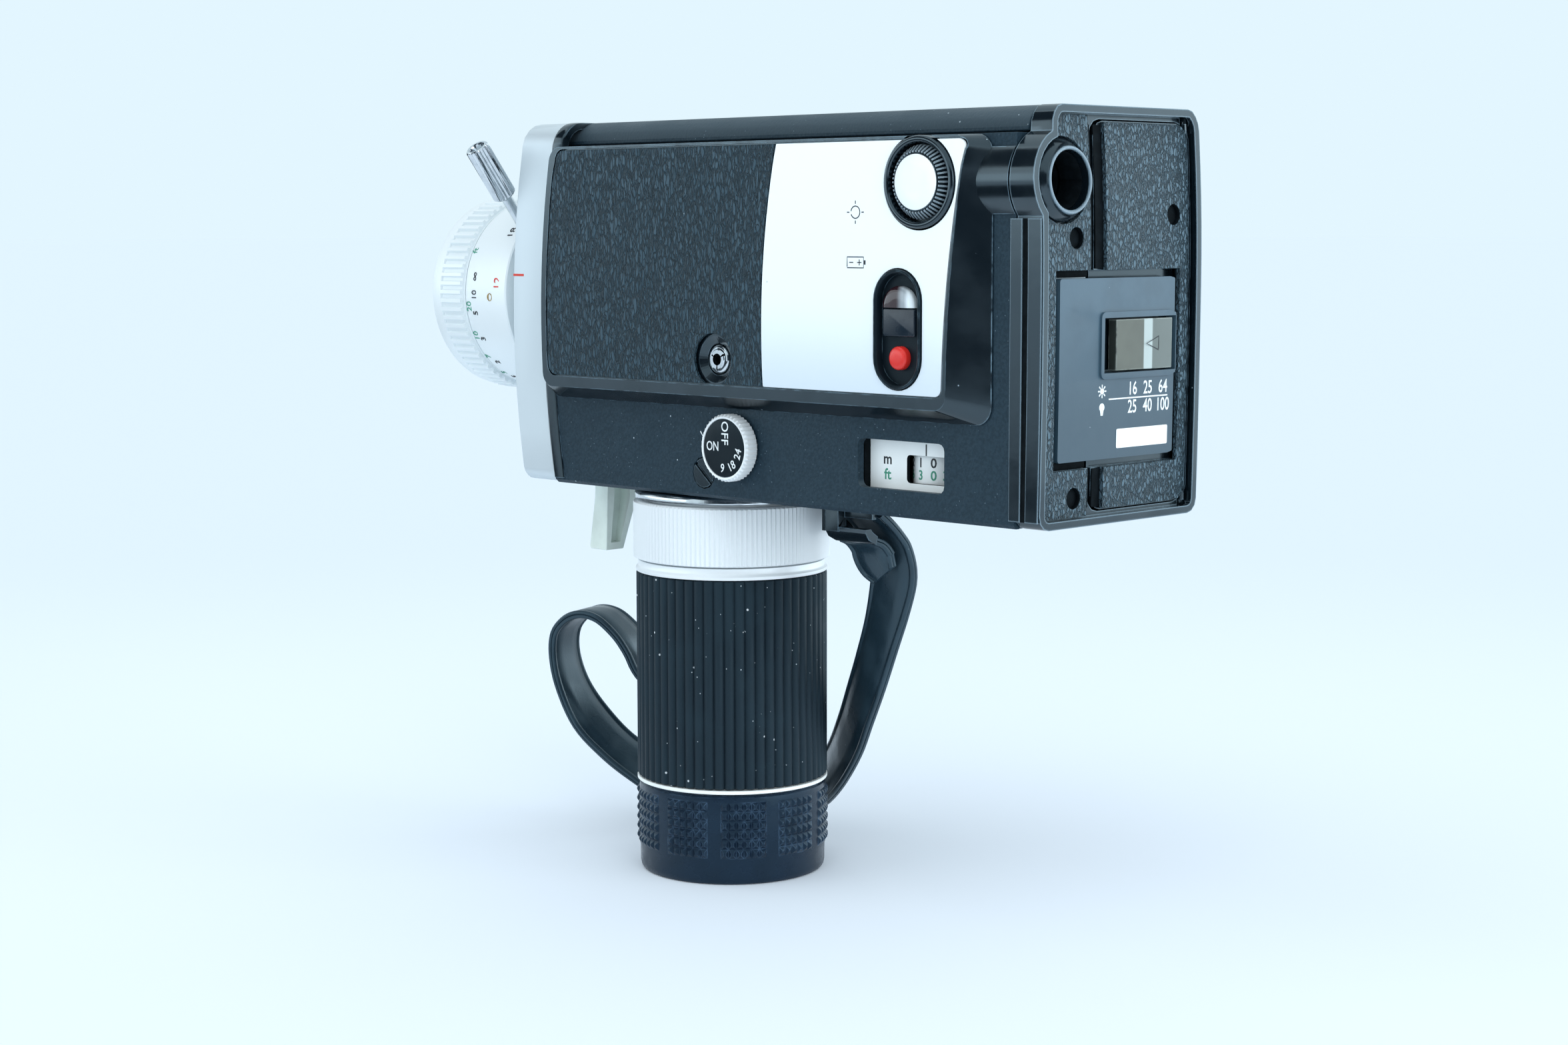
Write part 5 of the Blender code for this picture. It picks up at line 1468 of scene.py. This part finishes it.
def make_eyepiece():
    ring_made = piece("eye_ring", turned("Y", EYE, [
        (7.2, 103.8), (7.2, 107.8), (8.3, 107.8), (8.3, 108.4), (8.15, 108.8), (7.2, 109.8), (6.8, 110.3),
        (6.7, 110.75), (5.9, 110.75), (5.8, 110.4), (5.75, 109.0), (5.0, 103.8)], 72),
        "gloss", "camera", ("eyepiece_ring",))
    # Painted highlight: the lip is painted pale blue-grey for the light along its rounded edge.
    lip = piece("eye_lip", turned("Y", EYE, [
        (6.6, 110.7), (6.6, 110.9), (6.45, 111.08), (6.25, 111.1), (6.05, 110.95), (6.0, 110.7)], 72),
        "lip_highlight", "camera")
    # Painted shade: the eyepiece's bore is lined near-black.
    lining = piece("eye_lining", turned("Y", EYE, [
        (5.7, 109.0), (4.9, 103.9), (4.75, 103.9), (4.7, 104.1), (5.55, 109.0), (5.62, 109.1)], 72),
        "hollow", "camera")
    return [ring_made, lip, lining]


def make_latch():
    """The latch plate, its slider with a lit ridge, and the signs on both."""
    plate = dressed("latch_plate", "slate", 0.25)
    for vert in plate.data.vertices:
        if vert.co.x < -21.5 * MM:
            vert.co.x -= 0.9 * MM
    profile = [(-20.9, 106.7), (-2.8, 106.7), (-2.8, 108.75), (-3.0, 108.85), (RIDGE_X + 1.25, 108.85),
               (RIDGE_X - 1.25, 109.3), (-20.7, 109.3), (-20.9, 109.1)]
    slider = piece("latch_push", prism(profile, "Z", 119.7, 130.0), "olive", "latch_slider", ("latch_slider",))
    rounded(slider, 0.25)
    return [plate, slider] + make_latch_signs()


def make_latch_signs():
    arrow = stroke([(-2.0, 1.4), (2.0, 0.0), (-2.0, -1.4), (-2.0, 1.2)], 0.26)
    tip = plane_map((-14.2, 109.32, 124.9), (1.0, 0.0, 0.0), (0.0, 0.0, -1.0))
    made = [flat_mark("slide_arrow", [arrow], tip, "black_ink", "latch_slider", 0.03)]
    label = rounded_box((-8.5, -1.95), (8.5, 1.95), 0.3)
    bm = loft([[rear_side(-12.2, 105.9, PLATE_TOP)(u, v, w) for u, v in label] for w in (-0.05, 0.09)])
    made.append(piece("blank_label", bm, "white", "rear_door"))
    rays = []
    for k in range(8):
        a = math.pi * k / 4.0
        rays.append(stroke([(0.75 * math.cos(a), 0.75 * math.sin(a)), (1.35 * math.cos(a), 1.35 * math.sin(a))], 0.3))
    sun = [arc(0.0, 0.0, 0.65, 0, 330, 11)] + rays
    bulb = arc(0.0, 0.35, 0.85, -50, 230, 12) + [(-0.35, -1.3), (0.35, -1.3)]
    rule = stroke([(-9.8, 0.0), (9.8, 0.0)], 0.28)
    for name, shapes, x, z in (("sun_sign", sun, 1.2, 115.7), ("lamp_sign", [bulb], 1.2, 112.1),
                               ("sign_rule", [rule], -10.8, 114.0)):
        made.append(flat_mark(name, shapes, rear_side(x, z, PLATE_TOP), "white_ink", "rear_door", 0.03))
    for row, z in ((("16", "25", "64"), 115.8), (("25", "40", "100"), 112.1)):
        for k, text in enumerate(row):
            made.append(lettering(f"speed_{text}_{int(z)}", text, 3.8, rear_side(-8.8 - 5.1 * k, z, PLATE_TOP),
                                  "white_ink", "rear_door", 0.03, 0.8, 0.04))
    return made


# Grip


def make_grip():
    piece("grip_neck_ring", turned("Z", GRIP, [
        (22.1, 86.8), (22.35, 86.95), (22.4, 87.9), (22.2, 88.3), (21.4, 88.7), (17.0, 88.7), (17.0, 86.8)]),
        "chrome", "camera", ("grip_flange",))
    tooth = flutes(22.7, 0.45, LOCK_TEETH, SHARP_RIB)
    piece("lock_collar", turned("Z", GRIP, [
        (21.9, 72.8), (22.15, 72.9), (tooth, 73.1), (tooth, 85.8), (22.15, 86.05), (21.8, 86.2),
        (20.0, 86.2), (20.0, 72.8)], 4 * LOCK_TEETH), "grip_silver", "lock_ring", ("lock_ring",), 30.0)
    piece("grip_core", turned("Z", GRIP, [
        (18.8, 4.5), (18.8, 20.9), (20.0, 20.9), (20.0, 69.9), (22.1, 69.9), (22.2, 70.1), (22.15, 70.6),
        (21.7, 71.0), (21.6, 71.2), (21.6, 72.4), (19.7, 72.5), (19.7, 86.5), (17.9, 86.5), (17.9, 4.5)]),
        "grip_silver", "camera", ("grip_tube",))
    rib = flutes(22.1, 0.75, RIBS, ROUND_RIB)
    soft = flutes(21.9, 0.65, RIBS, ROUND_RIB)
    piece("grip_ribs", turned("Z", GRIP, [
        (soft, 22.2), (rib, 22.5), (rib, 69.3), (soft, 69.6), (20.3, 69.6), (20.3, 22.2)],
        len(ROUND_RIB) * RIBS), "rubber", "camera", ("grip_sleeve",), 75.0)
    piece("trim_band", turned("Z", GRIP, [
        (22.0, 21.1), (22.15, 21.25), (22.15, 21.75), (22.0, 21.9), (20.3, 21.9), (20.3, 21.1)]),
        "white", "camera", ("trim_ring",))
    make_cap()


def make_cap():
    """The battery cap: a plain foot and ten patches of small pyramids."""
    bm = turned("Z", GRIP, [
        (0.5, 0.35), (17.2, 0.35), (17.8, 0.0), (20.4, 0.0), (21.0, 0.25), (21.35, 0.8), (21.5, 1.6), (21.55, 5.4),
        (21.72, 5.9), (21.72, 19.2), (21.6, 20.2), (21.2, 20.7), (19.1, 20.7), (19.1, 2.3), (0.5, 2.3)],
        120, closed=False)
    rows, columns = 6, 6
    pitch = 4.65
    for patch in range(PATCHES):
        middle = PATCH_START + 360.0 / PATCHES * patch
        for row in range(rows):
            z = 7.3 + 2.16 * row
            for column in range(columns):
                add_pyramid(bm, math.radians(middle + pitch * (column - 2.5)), z)
    piece("cap_shell", bm, "navy", "battery_cap", ("battery_cap",), 25.0)


def add_pyramid(bm, angle, z):
    """One small pyramid with a blunt tip, standing on the cap's wall."""
    out = Vector((math.cos(angle), math.sin(angle), 0.0))
    around = Vector((-math.sin(angle), math.cos(angle), 0.0))
    rings = []
    for radius, wide, high in ((21.5, 0.80, 1.0), (21.72, 0.80, 1.0), (22.28, 0.22, 0.28), (22.32, 0.10, 0.12)):
        corners = ((-1, -1), (1, -1), (1, 1), (-1, 1))
        rings.append([out * radius + around * wide * u + Vector((0.0, 0.0, z + high * v)) for u, v in corners])
    loft_into(bm, rings)


def paint_rest():
    """Every node that still shows takes the look of its finish."""
    for name, node in nodes.items():
        for slot in node.material_slots:
            key = slot.material.name.split(".")[0]
            slot.material = LOOKS[NODE_LOOKS.get(key, key)]


def main():
    scene = bpy.context.scene
    scene.view_settings.view_transform = "Standard"
    make_camera()
    make_strap()
    make_sky()
    make_sun("key", (0.62, -0.55, 0.56), 0.45, 60.0)
    make_sun("fill", (-0.30, 0.93, 0.12), 1.50, 50.0)
    make_sun("front", (0.48, 0.50, 0.72), 0.45, 45.0, mirrored=False)
    make_soft_light("soft", (0.25, 0.60, 0.12), (0.0, 0.02, 0.08), 0.75, 0.30)
    make_floor()
    make_cards()
    paint_rest()
    make_body()
    make_pod()
    make_side_controls()
    make_lens()
    make_rear()
    make_grip()


main()
